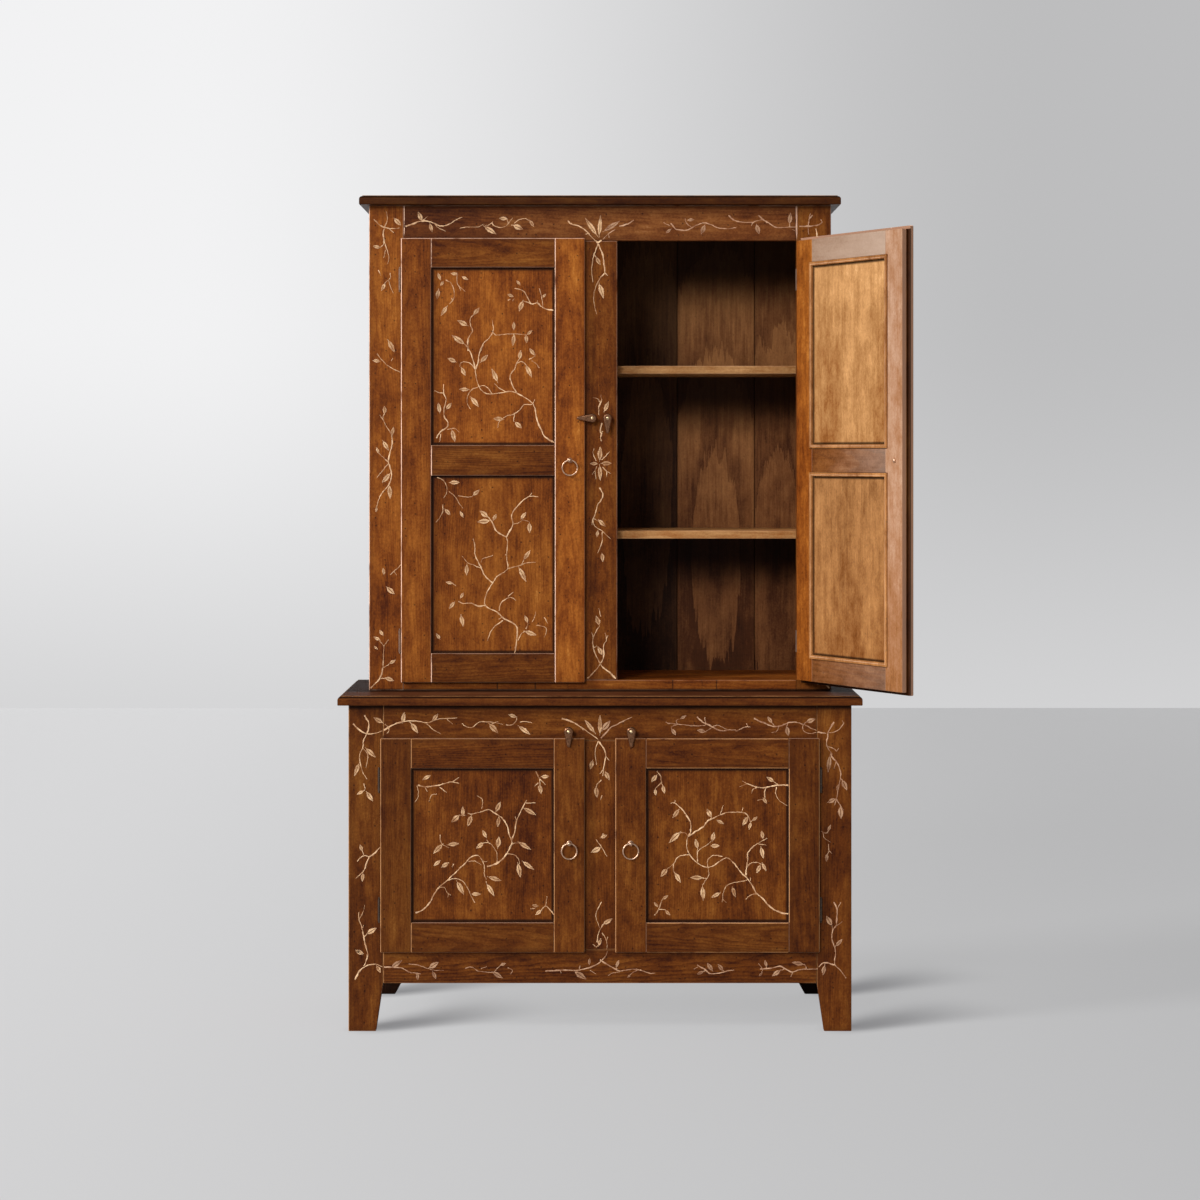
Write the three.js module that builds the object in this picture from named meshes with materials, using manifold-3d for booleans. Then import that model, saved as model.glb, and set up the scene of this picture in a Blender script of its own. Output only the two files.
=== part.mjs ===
// A step back cupboard: a lower case on four feet carries a moulded waist board, and a
// shallower hutch stands on the back of that board. Two lipped doors close each case.
// They turn on small hinges whose leaves wrap the corner of the face frame, are held
// shut by turn buttons, and are opened by ring pulls. The upper right door stands open.
// Millimetres, +X to the right, +Y to the back, +Z up.
import * as THREE from 'three';
import { mergeVertices } from 'three/addons/utils/BufferGeometryUtils.js';
import Module from 'manifold-3d';

const wasm = await Module();
wasm.setup();

// Lower case
const baseWidth = 1280;
const baseDepth = 508;
const baseHeight = 830;
const baseStileWidth = 88;
const baseTopRailHeight = 90;
const baseBottomRailHeight = 86;
const baseShelfRise = 266;
const legHeight = 122;
const footWidth = 70;
const sideLegWidth = 88;
const bracketFootWidth = 83;
const bracketSlope = 67;

// Hutch
const hutchWidth = 1200;
const hutchDepth = 358;
const hutchHeight = 1260;
const hutchStileWidth = 90;
const friezeHeight = 92;
const hutchFloorStock = 27;
const lowerShelfRise = 414;
const upperShelfRise = 844;
const shelfSetback = 12;

// Board stock and joinery shared by both cases
const centreStileWidth = 90;
const frameStock = 21;
const sideStock = 20;
const shelfStock = 21;
const backStock = 12;
const backBoardWidth = 210;
const backGrooveWidth = 3;
const backGrooveDepth = 2;
const dadoDepth = 6;
const rebateWidth = 10;
const easedEdge = 0.8;
const fitGap = 0.3;
const overrun = 5;

// Moulded boards on top of each case
const topStock = 24;
const waistSideOverhang = 26;
const waistFrontOverhang = 25;
const corniceOverhang = 24;
const thumbnailRadius = 8;
const thumbnailStep = 2;
const underRadius = 4;

// Doors
const doorStileWidth = 78;
const doorRailWidth = 76;
const doorMidRailWidth = 79;
const lipOverlap = 6;
const lipThickness = 12;
const insetThickness = 18;
const lipRadius = 3;
const panelThickness = 16;
const panelRecess = 10;
const panelRebate = 9;
const beadWidth = 10;
const beadHeight = 7;
const beadRound = 2;
const scoreWidth = 0.8;
const scoreDepth = 0.6;
const openAngle = THREE.MathUtils.degToRad(120);

// Hinges
const hingeHeight = 56;
const hingeInset = 107;
const barrelRadius = 3.3;
const barrelGap = 0.5;
const leafThickness = 1.4;
const leafReach = 14;
const leafSetback = 2;
const pinRadius = 2;
const boreClearance = 0.4;
const finialHeight = 3.2;

// Ring pulls
const ringRadius = 19.6;
const wireRadius = 2.2;
const ballRadius = 5.8;
const ballStandOff = 10;
const eyeRadius = 3.2;
const neckRadius = 3;
const flangeRadius = 6.5;
const flangeThickness = 2;
const shankRadius = 2.2;
const nutRadius = 4.5;
const nutHeight = 4;
const lowerPullRise = 6;

// Turn buttons
const buttonHeadRadius = 11.5;
const buttonTipRadius = 4.5;
const buttonReach = 40;
const buttonThickness = 8;
const buttonRound = 3.5;
const buttonClearance = 0.6;
const bossRadius = 6;
const screwRadius = 4.2;
const screwHeight = 2;
const screwSlotWidth = 1;
const screwSlotDepth = 1;
const upperButtonRise = 707;
const upperButtonInset = 25;
const lowerButtonRise = 24;
const lowerButtonShift = 34.5;

// Counts of steps round the curved surfaces
const mouldingSteps = 5;
const lipSteps = 3;
const hingeSides = 12;
const finialSteps = 3;
const postSides = 14;
const ballSteps = 7;
const nutSteps = 3;
const ringSteps = 30;
const wireSides = 8;
const buttonSteps = 9;
const buttonRoundSteps = 3;
const screwSteps = 3;
const bossSides = 16;

// Levels and faces that follow from the sizes above
const baseFloorTop = legHeight + baseBottomRailHeight;
const baseOpeningTop = baseHeight - baseTopRailHeight;
const waistBottom = baseHeight + fitGap;
const waistTop = waistBottom + topStock;
const hutchFront = baseDepth - hutchDepth;
const hutchBottom = waistTop + fitGap;
const hutchTop = hutchBottom + hutchHeight;
const hutchFloorTop = hutchBottom + hutchFloorStock;
const hutchOpeningTop = hutchTop - friezeHeight;
const corniceBottom = hutchTop + fitGap;

// A hinge's own frame has its pin on the origin, the door towards +X and the case towards +Y
const leafRoom = leafThickness + 2 * fitGap;
const frameFace = barrelRadius + fitGap;
const lipEdge = barrelRadius + barrelGap;
const jamb = lipEdge + lipOverlap;
const insetEdge = jamb + leafRoom;
const lipBack = frameFace - leafRoom;
const lipFront = lipBack - lipThickness;
const insetBack = lipBack + insetThickness;

const finishes = {
  stainedWood: { color: 0x8f5429, roughness: 0.4, metalness: 0 },
  interiorWood: { color: 0x6a3f22, roughness: 0.6, metalness: 0 },
  hingeIron: { color: 0x4a3a2c, roughness: 0.5, metalness: 0.8 },
  pullBrass: { color: 0xb59a5e, roughness: 0.38, metalness: 0.9 },
  buttonBronze: { color: 0x7a5a34, roughness: 0.45, metalness: 0.85 },
};

function toSolid(geometry) {
  const bare = geometry.clone();
  bare.deleteAttribute('normal');
  bare.deleteAttribute('uv');
  const merged = mergeVertices(bare);
  const corners = [];
  for (let start = 0; start < merged.index.count; start += 3) {
    const [a, b, c] = merged.index.array.slice(start, start + 3);
    if (a !== b && b !== c && c !== a) {
      corners.push(a, b, c);
    }
  }
  return new wasm.Manifold(new wasm.Mesh({
    numProp: 3,
    vertProperties: new Float32Array(merged.attributes.position.array),
    triVerts: new Uint32Array(corners),
  }));
}

function toGeometry(solid) {
  const mesh = solid.getMesh();
  const geometry = new THREE.BufferGeometry();
  geometry.setAttribute('position', new THREE.BufferAttribute(mesh.vertProperties, 3));
  geometry.setIndex(new THREE.BufferAttribute(mesh.triVerts, 1));
  geometry.computeVertexNormals();
  return geometry;
}

function addMesh(parent, name, solid, finish) {
  const mesh = new THREE.Mesh(toGeometry(solid), new THREE.MeshStandardMaterial(finish));
  mesh.name = name;
  parent.add(mesh);
  return mesh;
}

// The solid is drawn for the left side and the right one is its mirror image
function addPair(parent, name, solid, finish) {
  addMesh(parent, `${name}_left`, solid, finish);
  addMesh(parent, `${name}_right`, solid, finish).scale.x = -1;
}

function polygon(points) {
  return new THREE.Shape(points.map(([across, up]) => new THREE.Vector2(across, up)));
}

function rectangle(left, low, right, high) {
  return polygon([[left, low], [right, low], [right, high], [left, high]]);
}

// An outline is drawn seen from the top, the front or the side, and is thick square to that
const xAxis = new THREE.Vector3(1, 0, 0);
const yAxis = new THREE.Vector3(0, 1, 0);
const zAxis = new THREE.Vector3(0, 0, 1);
const views = {
  top: {
    basis: new THREE.Matrix4().makeBasis(xAxis, yAxis, zAxis),
    start: (near) => [0, 0, near],
  },
  front: {
    basis: new THREE.Matrix4().makeBasis(xAxis, zAxis, yAxis.clone().negate()),
    start: (near, far) => [0, far, 0],
  },
  side: {
    basis: new THREE.Matrix4().makeBasis(yAxis, zAxis, xAxis),
    start: (near) => [near, 0, 0],
  },
};

function prism(view, outline, near, far, edge = 0, steps = mouldingSteps, edgeSteps = 1) {
  const geometry = new THREE.ExtrudeGeometry(outline, {
    depth: far - near - 2 * edge,
    curveSegments: steps,
    bevelEnabled: edge > 0,
    bevelThickness: edge,
    bevelSize: edge,
    bevelOffset: -edge,
    bevelSegments: edgeSteps,
  });
  geometry.translate(0, 0, edge);
  geometry.applyMatrix4(views[view].basis);
  geometry.translate(...views[view].start(near, far));
  return toSolid(geometry);
}

function box(left, front, low, right, back, high) {
  return prism('front', rectangle(left, low, right, high), front, back);
}

// A turned solid stands on the Z axis, its profile given as radius and height from below
function turned(profile, sides) {
  const geometry = new THREE.LatheGeometry(profile.map(([r, z]) => new THREE.Vector2(r, z)), sides);
  geometry.rotateX(Math.PI / 2);
  return geometry;
}

function quarterRound(radius, height, base, steps) {
  const points = [];
  for (let step = 0; step <= steps; step += 1) {
    const angle = (step / steps) * (Math.PI / 2);
    const isTip = step === steps;
    points.push([isTip ? 0 : radius * Math.cos(angle), base + height * Math.sin(angle)]);
  }
  return points;
}

// Case sides, with housings for the boards and a rebate for the back
function caseSide(outline, outer, front, low, high, boards) {
  const inner = outer + sideStock;
  const rebateFront = baseDepth - backStock - fitGap;
  const rebate = box(
    inner - rebateWidth, rebateFront, low - overrun, inner + overrun, baseDepth + overrun, high + overrun,
  );
  let side = prism('side', outline, outer, inner, easedEdge).subtract(rebate);
  for (const [boardLow, boardHigh] of boards) {
    const housing = box(
      inner - dadoDepth, front - overrun, boardLow - fitGap,
      inner + overrun, baseDepth + overrun, boardHigh + fitGap,
    );
    side = side.subtract(housing);
  }
  return side;
}

function baseSide(boards) {
  const front = frameStock + fitGap;
  const outline = polygon([
    [front, 0],
    [footWidth, 0],
    [sideLegWidth, legHeight],
    [baseDepth - sideLegWidth, legHeight],
    [baseDepth - footWidth, 0],
    [baseDepth, 0],
    [baseDepth, baseHeight],
    [front, baseHeight],
  ]);
  return caseSide(outline, -baseWidth / 2, front, 0, baseHeight, boards);
}

function hutchSide(boards) {
  const front = hutchFront + frameStock + fitGap;
  const outline = rectangle(front, hutchBottom, baseDepth, hutchTop);
  return caseSide(outline, -hutchWidth / 2, front, hutchBottom, hutchTop, boards);
}

// The back is made of upright boards, and a V on both faces marks each joint
function boardedBack(caseWidth, low, high) {
  const half = caseWidth / 2 - sideStock + rebateWidth - fitGap;
  const front = baseDepth - backStock;
  const reach = backGrooveWidth / 2;
  const joints = Math.floor((half - backGrooveWidth) / backBoardWidth);
  const frontFace = [];
  const rearFace = [];
  for (let joint = -joints; joint <= joints; joint += 1) {
    const middle = joint * backBoardWidth;
    frontFace.push([middle - reach, front], [middle, front + backGrooveDepth], [middle + reach, front]);
    rearFace.unshift(
      [middle + reach, baseDepth], [middle, baseDepth - backGrooveDepth], [middle - reach, baseDepth],
    );
  }
  const plan = polygon([
    [-half, front], ...frontFace, [half, front], [half, baseDepth], ...rearFace, [-half, baseDepth],
  ]);
  return prism('top', plan, low, high);
}

function bracketArch() {
  const inner = baseWidth / 2 - bracketFootWidth;
  const runOut = (bracketSlope * overrun) / legHeight;
  const arch = polygon([
    [-inner - runOut, -overrun],
    [inner + runOut, -overrun],
    [inner - bracketSlope, legHeight],
    [bracketSlope - inner, legHeight],
  ]);
  return prism('front', arch, baseDepth - backStock - overrun, baseDepth + overrun);
}

function caseBoard(caseWidth, front, low, high) {
  const half = caseWidth / 2 - sideStock + dadoDepth - fitGap;
  const back = baseDepth - backStock - fitGap;
  return prism('front', rectangle(-half, low, half, high), front, back, easedEdge);
}

// The hutch floor shows its front edge between the outer stiles
function hutchFloor() {
  const half = hutchWidth / 2 - sideStock + dadoDepth - fitGap;
  const tongue = hutchWidth / 2 - hutchStileWidth - fitGap;
  const shoulder = hutchFront + frameStock + fitGap;
  const back = baseDepth - backStock - fitGap;
  const outline = polygon([
    [-tongue, hutchFront],
    [tongue, hutchFront],
    [tongue, shoulder],
    [half, shoulder],
    [half, back],
    [-half, back],
    [-half, shoulder],
    [-tongue, shoulder],
  ]);
  return prism('top', outline, hutchBottom, hutchFloorTop, easedEdge);
}

// A thumbnail edge: a small step, a quarter round, the upright edge and an eased underside
function thumbnailSection(low, high, bottom, squareBack) {
  const top = bottom + topStock;
  const centre = top - thumbnailStep - thumbnailRadius;
  const under = bottom + underRadius;
  const section = new THREE.Shape();
  section.moveTo(low + thumbnailRadius, top);
  section.lineTo(low + thumbnailRadius, top - thumbnailStep);
  section.absarc(low + thumbnailRadius, centre, thumbnailRadius, Math.PI / 2, Math.PI);
  section.absarc(low + underRadius, under, underRadius, Math.PI, Math.PI * 1.5);
  if (squareBack) {
    section.lineTo(high, bottom);
    section.lineTo(high, top);
  } else {
    section.absarc(high - underRadius, under, underRadius, -Math.PI / 2, 0);
    section.absarc(high - thumbnailRadius, centre, thumbnailRadius, 0, Math.PI / 2);
    section.lineTo(high - thumbnailRadius, top);
  }
  return section;
}

function mouldedBoard(half, front, bottom) {
  const acrossSection = thumbnailSection(-half, half, bottom, false);
  const depthSection = thumbnailSection(front, baseDepth, bottom, true);
  const across = prism('front', acrossSection, front - overrun, baseDepth + overrun);
  const depth = prism('side', depthSection, -half - overrun, half + overrun);
  return across.intersect(depth);
}

// Face frame pieces, drawn from the front
function frameBoard(outline, front) {
  return prism('front', outline, front, front + frameStock, easedEdge);
}

function baseStile() {
  const outer = -baseWidth / 2;
  return frameBoard(polygon([
    [outer, 0],
    [outer + footWidth, 0],
    [outer + baseStileWidth, legHeight],
    [outer + baseStileWidth, baseHeight],
    [outer, baseHeight],
  ]), 0);
}

function railBetween(caseWidth, stileWidth, low, high, front) {
  const half = caseWidth / 2 - stileWidth - fitGap;
  return frameBoard(rectangle(-half, low, half, high), front);
}

function centreStile(low, high, front) {
  const half = centreStileWidth / 2;
  return frameBoard(rectangle(-half, low + fitGap, half, high - fitGap), front);
}

const carcase = new THREE.Group();
const wood = finishes.stainedWood;
const inside = finishes.interiorWood;
const baseShelfTop = baseFloorTop + baseShelfRise;
const lowerShelfTop = hutchBottom + lowerShelfRise;
const upperShelfTop = hutchBottom + upperShelfRise;
const baseBoards = [[baseFloorTop - shelfStock, baseFloorTop], [baseShelfTop - shelfStock, baseShelfTop]];
const hutchShelves = [
  [lowerShelfTop - shelfStock, lowerShelfTop],
  [upperShelfTop - shelfStock, upperShelfTop],
];
const behindBaseFrame = frameStock + fitGap;
const baseShelfFront = frameStock + shelfSetback;
const hutchShelfFront = hutchFront + frameStock + shelfSetback;

addPair(carcase, 'base_side', baseSide(baseBoards), wood);
addPair(carcase, 'base_stile', baseStile(), wood);
addMesh(carcase, 'base_centre_stile', centreStile(baseFloorTop, baseOpeningTop, 0), wood);
addMesh(carcase, 'base_top_rail', railBetween(baseWidth, baseStileWidth, baseOpeningTop, baseHeight, 0), wood);
addMesh(carcase, 'base_bottom_rail', railBetween(baseWidth, baseStileWidth, legHeight, baseFloorTop, 0), wood);
addMesh(carcase, 'base_floor', caseBoard(baseWidth, behindBaseFrame, ...baseBoards[0]), inside);
addMesh(carcase, 'base_shelf', caseBoard(baseWidth, baseShelfFront, ...baseBoards[1]), inside);
addMesh(carcase, 'base_back', boardedBack(baseWidth, 0, baseHeight).subtract(bracketArch()), inside);

const waistHalf = baseWidth / 2 + waistSideOverhang;
const corniceHalf = hutchWidth / 2 + corniceOverhang;
addMesh(carcase, 'waist_board', mouldedBoard(waistHalf, -waistFrontOverhang, waistBottom), wood);

const hutchFrieze = railBetween(hutchWidth, hutchStileWidth, hutchOpeningTop, hutchTop, hutchFront);
const hutchStileOutline = rectangle(
  -hutchWidth / 2, hutchBottom, hutchStileWidth - hutchWidth / 2, hutchTop,
);
addPair(carcase, 'hutch_side', hutchSide([[hutchBottom, hutchFloorTop], ...hutchShelves]), wood);
addPair(carcase, 'hutch_stile', frameBoard(hutchStileOutline, hutchFront), wood);
addMesh(carcase, 'hutch_centre_stile', centreStile(hutchFloorTop, hutchOpeningTop, hutchFront), wood);
addMesh(carcase, 'hutch_frieze_rail', hutchFrieze, wood);
addMesh(carcase, 'hutch_floor', hutchFloor(), inside);
addMesh(carcase, 'hutch_shelf_lower', caseBoard(hutchWidth, hutchShelfFront, ...hutchShelves[0]), inside);
addMesh(carcase, 'hutch_shelf_upper', caseBoard(hutchWidth, hutchShelfFront, ...hutchShelves[1]), inside);
addMesh(carcase, 'hutch_back', boardedBack(hutchWidth, hutchBottom, hutchTop), inside);
addMesh(carcase, 'cornice_board', mouldedBoard(corniceHalf, hutchFront - corniceOverhang, corniceBottom), wood);

// Hinge leaves: each is an L that wraps a corner, and the knuckles take turns on one pin
const knuckleHeight = (hingeHeight - 2 * fitGap) / 3;
const middleHalf = knuckleHeight / 2;
const frameLeafFront = frameFace - fitGap - leafThickness;
const frameLeafSide = jamb + fitGap;
const frameLeafReach = frameFace + leafReach;
const doorLeafFront = lipBack - leafThickness;
const doorLeafSide = insetEdge;
const doorLeafReach = frameLeafReach - leafSetback;

function hingeLeaf(front, side, reach, tabs) {
  const half = hingeHeight / 2;
  const back = front + leafThickness;
  const outerSide = side + leafThickness;
  let leaf = prism('top', polygon([
    [frameFace, front],
    [outerSide, front],
    [outerSide, reach],
    [side, reach],
    [side, back],
    [frameFace, back],
  ]), -half, half);
  for (const [low, high] of tabs) {
    leaf = leaf.add(prism('top', rectangle(0, front, frameFace, back), low, high));
  }
  return leaf;
}

function frameLeaf() {
  const half = hingeHeight / 2;
  const shoulder = middleHalf + fitGap;
  const tip = quarterRound(barrelRadius, finialHeight, half, finialSteps);
  const upper = [[pinRadius, shoulder], [barrelRadius, shoulder], ...tip];
  const lower = upper.map(([r, z]) => [r, -z]).reverse();
  const knuckles = toSolid(turned([...lower, ...upper], hingeSides));
  const tabs = [[-half, -shoulder], [shoulder, half]];
  return knuckles.add(hingeLeaf(frameLeafFront, frameLeafSide, frameLeafReach, tabs));
}

function doorLeaf() {
  const bore = pinRadius + boreClearance;
  const barrel = [[0, -middleHalf], [barrelRadius, -middleHalf], [barrelRadius, middleHalf], [0, middleHalf]];
  const hole = [
    [0, -middleHalf - overrun],
    [bore, -middleHalf - overrun],
    [bore, middleHalf + overrun],
    [0, middleHalf + overrun],
  ];
  const leaf = hingeLeaf(doorLeafFront, doorLeafSide, doorLeafReach, [[-middleHalf, middleHalf]]);
  return leaf.add(toSolid(turned(barrel, hingeSides))).subtract(toSolid(turned(hole, hingeSides)));
}

// The door leaf lies in a shallow pocket cut into the lip's back and the inset edge
function leafPocket(level) {
  const half = hingeHeight / 2 + fitGap;
  const inner = doorLeafSide + leafThickness + fitGap;
  const front = doorLeafFront - fitGap;
  const back = doorLeafReach + fitGap;
  const lipPocket = box(lipEdge - overrun, front, level - half, inner, lipBack + fitGap, level + half);
  const edgePocket = box(jamb, front, level - half, inner, back, level + half);
  return lipPocket.add(edgePocket);
}

// A door's outline seen along one edge: the lip lies on the frame and the inset fits inside it
function doorSection(low, high) {
  const step = lipOverlap + leafRoom;
  const section = new THREE.Shape();
  section.moveTo(low, lipBack);
  section.absarc(low + lipRadius, lipFront + lipRadius, lipRadius, Math.PI, Math.PI * 1.5);
  section.absarc(high - lipRadius, lipFront + lipRadius, lipRadius, -Math.PI / 2, 0);
  section.lineTo(high, lipBack);
  section.lineTo(high - step, lipBack);
  section.lineTo(high - step, insetBack);
  section.lineTo(low + step, insetBack);
  section.lineTo(low + step, lipBack);
  return section;
}

function swapped(section) {
  return new THREE.Shape(section.getPoints(lipSteps).map((point) => new THREE.Vector2(point.y, point.x)));
}

function doorWindows(door) {
  const openHeight = door.height - 2 * doorRailWidth - (door.panels.length - 1) * doorMidRailWidth;
  const height = openHeight / door.panels.length;
  return door.panels.map((name, index) => {
    const low = door.low + doorRailWidth + index * (height + doorMidRailWidth);
    return {
      name,
      left: lipEdge + doorStileWidth,
      right: lipEdge + door.width - doorStileWidth,
      low,
      high: low + height,
    };
  });
}

function grown(window, growth) {
  return rectangle(
    window.left - growth, window.low - growth, window.right + growth, window.high + growth,
  );
}

function doorFrame(door) {
  const high = door.low + door.height;
  const right = lipEdge + door.width;
  const windows = doorWindows(door);
  const seat = lipFront + panelRecess;
  const upright = prism('top', doorSection(lipEdge, right), door.low - overrun, high + overrun, 0, lipSteps);
  const level = prism('side', swapped(doorSection(door.low, high)), lipEdge - overrun, right + overrun);
  let frame = upright.intersect(level);
  for (const window of windows) {
    const opening = prism('front', grown(window, 0), lipFront - overrun, insetBack + overrun);
    const arris = prism(
      'front', grown(window, easedEdge), lipFront - 2 * easedEdge, lipFront + easedEdge, easedEdge,
    );
    const rebate = prism('front', grown(window, panelRebate), seat, insetBack + overrun);
    frame = frame.subtract(opening).subtract(arris).subtract(rebate);
  }
  const levels = [door.low, ...windows.flatMap((window) => [window.low, window.high]), high];
  for (let rail = 0; rail < levels.length; rail += 2) {
    for (const edge of [windows[0].left, windows[0].right]) {
      const left = edge - scoreWidth / 2;
      const score = (front, back) => box(
        left, front, levels[rail] - overrun, left + scoreWidth, back, levels[rail + 1] + overrun,
      );
      frame = frame.subtract(score(lipFront - overrun, lipFront + scoreDepth));
      frame = frame.subtract(score(insetBack - scoreDepth, insetBack + overrun));
    }
  }
  for (const level of hingeLevels(door)) {
    frame = frame.subtract(leafPocket(level));
  }
  const clearance = shankRadius + fitGap;
  const hole = new THREE.CylinderGeometry(
    clearance, clearance, insetBack - lipFront + 2 * overrun, postSides,
  );
  hole.translate(right - doorStileWidth / 2, (lipFront + insetBack) / 2, door.pullLevel);
  return frame.subtract(toSolid(hole));
}

function hingeLevels(door) {
  return [door.low + door.height - hingeInset, door.low + hingeInset];
}

// A panel drops into the rebate from behind, and beads round its back hold it
function doorPanel(window) {
  const growth = panelRebate - fitGap;
  const front = lipFront + panelRecess + fitGap;
  const back = front + panelThickness;
  const plate = prism('front', grown(window, growth), front, back);
  const beads = grown(window, growth);
  beads.holes.push(grown(window, growth - beadWidth));
  return plate.add(prism('front', beads, back - beadRound, back + beadHeight, beadRound));
}

// A pull's post: nut and shank through the stile, flange, neck and a ball with an eye in it
function pullPost(door) {
  const thickness = insetBack - lipFront;
  const nutFace = -thickness - fitGap;
  const nut = quarterRound(nutRadius, nutHeight, -nutFace, nutSteps).map(([r, out]) => [r, -out]).reverse();
  const ball = [];
  const neckAngle = Math.asin(neckRadius / ballRadius);
  for (let step = 0; step <= ballSteps; step += 1) {
    const angle = neckAngle + (step / ballSteps) * (Math.PI - neckAngle);
    const isTip = step === ballSteps;
    const radius = isTip ? 0 : ballRadius * Math.sin(angle);
    ball.push([radius, ballStandOff - ballRadius * Math.cos(angle)]);
  }
  const profile = [
    ...nut,
    [shankRadius, nutFace],
    [shankRadius, fitGap],
    [flangeRadius, fitGap],
    [flangeRadius, flangeThickness - easedEdge],
    [flangeRadius - easedEdge, flangeThickness],
    [neckRadius, flangeThickness],
    ...ball,
  ];
  const post = turned(profile, postSides);
  post.rotateX(Math.PI / 2);
  const eye = new THREE.CylinderGeometry(eyeRadius, eyeRadius, 2 * ballRadius + 2 * overrun, postSides);
  eye.rotateZ(Math.PI / 2);
  eye.translate(0, -ballStandOff, 0);
  const foot = [lipEdge + door.width - doorStileWidth / 2, lipFront, door.pullLevel];
  post.translate(...foot);
  eye.translate(...foot);
  return toSolid(post).subtract(toSolid(eye));
}

// The ring hangs in the eye, its bend shared evenly above and below the eye's middle
const ringBend = ringRadius - Math.sqrt(ringRadius ** 2 - ballRadius ** 2);

function pullRing() {
  const ring = new THREE.TorusGeometry(ringRadius, wireRadius, wireSides, ringSteps);
  ring.rotateX(Math.PI / 2);
  ring.translate(0, 0, ringBend / 2 - ringRadius);
  return toSolid(ring);
}

const hingePlate = finishes.hingeIron;

function addDoor(door, side) {
  const hand = side === 'left' ? 1 : -1;
  const group = new THREE.Group();
  group.position.set(-hand * door.axisX, door.axisY, 0);
  group.scale.x = hand;
  group.rotation.z = -hand * door.opened[side];
  const name = `${door.name}_${side}`;
  addMesh(group, `${name}_door_frame`, doorFrame(door), wood);
  for (const window of doorWindows(door)) {
    addMesh(group, `${name}_${window.name}`, doorPanel(window), wood);
  }
  addMesh(group, `${name}_pull_post`, pullPost(door), finishes.pullBrass);
  const ring = addMesh(group, `${name}_pull_ring`, pullRing(), finishes.pullBrass);
  const eyeX = lipEdge + door.width - doorStileWidth / 2;
  ring.position.set(eyeX, lipFront - ballStandOff, door.pullLevel);
  hingeLevels(door).forEach((level, index) => {
    const place = index === 0 ? 'top' : 'bottom';
    const doorSide = addMesh(group, `${name}_hinge_${place}_door_leaf`, doorLeaf(), hingePlate);
    doorSide.position.z = level;
    const caseSideLeaf = addMesh(carcase, `${name}_hinge_${place}_frame_leaf`, frameLeaf(), hingePlate);
    caseSideLeaf.position.set(-hand * door.axisX, door.axisY, level);
    caseSideLeaf.scale.x = hand;
  });
  return group;
}

function doorFor(name, caseWidth, stileWidth, front, openingLow, openingHigh, rest) {
  const openingWidth = (caseWidth - centreStileWidth) / 2 - stileWidth;
  return {
    name,
    axisX: caseWidth / 2 - stileWidth + jamb,
    axisY: front - frameFace,
    low: openingLow - lipOverlap,
    width: openingWidth + 2 * lipOverlap,
    height: openingHigh - openingLow + 2 * lipOverlap,
    pullLevel: (openingLow + openingHigh) / 2 + rest.pullRise,
    panels: rest.panels,
    opened: rest.opened,
  };
}

const upperDoor = doorFor(
  'upper', hutchWidth, hutchStileWidth, hutchFront, hutchFloorTop, hutchOpeningTop,
  { pullRise: 0, panels: ['panel_bottom', 'panel_top'], opened: { left: 0, right: openAngle } },
);
const lowerDoor = doorFor(
  'lower', baseWidth, baseStileWidth, 0, baseFloorTop, baseOpeningTop,
  { pullRise: lowerPullRise, panels: ['door_panel'], opened: { left: 0, right: 0 } },
);
const doors = [upperDoor, lowerDoor].flatMap((door) => [addDoor(door, 'left'), addDoor(door, 'right')]);

// A turn button: a domed teardrop on a boss that clears the lip of a shut door
const buttonBack = -(leafRoom + lipThickness + buttonClearance);
const buttonFront = buttonBack - buttonThickness;

function buttonOutline() {
  const tipDrop = buttonReach - buttonTipRadius;
  const slant = Math.asin((buttonHeadRadius - buttonTipRadius) / tipDrop);
  const outline = new THREE.Shape();
  outline.absarc(0, 0, buttonHeadRadius, -slant, Math.PI + slant);
  outline.absarc(0, -tipDrop, buttonTipRadius, Math.PI + slant, 2 * Math.PI - slant);
  return outline;
}

function turnButton() {
  const blank = prism(
    'front', buttonOutline(), buttonFront, buttonBack + buttonRound, buttonRound, buttonSteps, buttonRoundSteps,
  );
  const behind = box(
    -buttonReach, buttonBack, -buttonReach - overrun, buttonReach, buttonBack + buttonRound + overrun, buttonReach,
  );
  const boss = new THREE.CylinderGeometry(bossRadius, bossRadius, -buttonBack, bossSides);
  boss.translate(0, buttonBack / 2 - fitGap, 0);
  const screw = turned([
    [0, -screwHeight],
    [screwRadius, -screwHeight],
    ...quarterRound(screwRadius, screwHeight, 0, screwSteps),
  ], bossSides);
  screw.rotateX(Math.PI / 2);
  screw.translate(0, buttonFront, 0);
  const slot = box(
    -screwRadius - overrun, buttonFront - screwHeight - overrun, -screwSlotWidth / 2,
    screwRadius + overrun, buttonFront - screwHeight + screwSlotDepth, screwSlotWidth / 2,
  );
  return blank.subtract(behind).add(toSolid(boss)).add(toSolid(screw)).subtract(slot);
}

function addButton(name, x, front, z, turn) {
  const button = addMesh(carcase, name, turnButton(), finishes.buttonBronze);
  button.position.set(x, front, z);
  button.rotation.y = turn;
}

const upperButtonX = centreStileWidth / 2 - upperButtonInset;
const upperButtonZ = hutchBottom + upperButtonRise;
const lowerButtonX = centreStileWidth / 2 + lowerButtonShift;
const lowerButtonZ = baseOpeningTop + lowerButtonRise;
addButton('upper_left_turn_button', -upperButtonX, hutchFront, upperButtonZ, Math.PI / 2);
addButton('upper_right_turn_button', upperButtonX, hutchFront, upperButtonZ, 0);
addButton('lower_left_turn_button', -lowerButtonX, 0, lowerButtonZ, 0);
addButton('lower_right_turn_button', lowerButtonX, 0, lowerButtonZ, 0);

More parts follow.
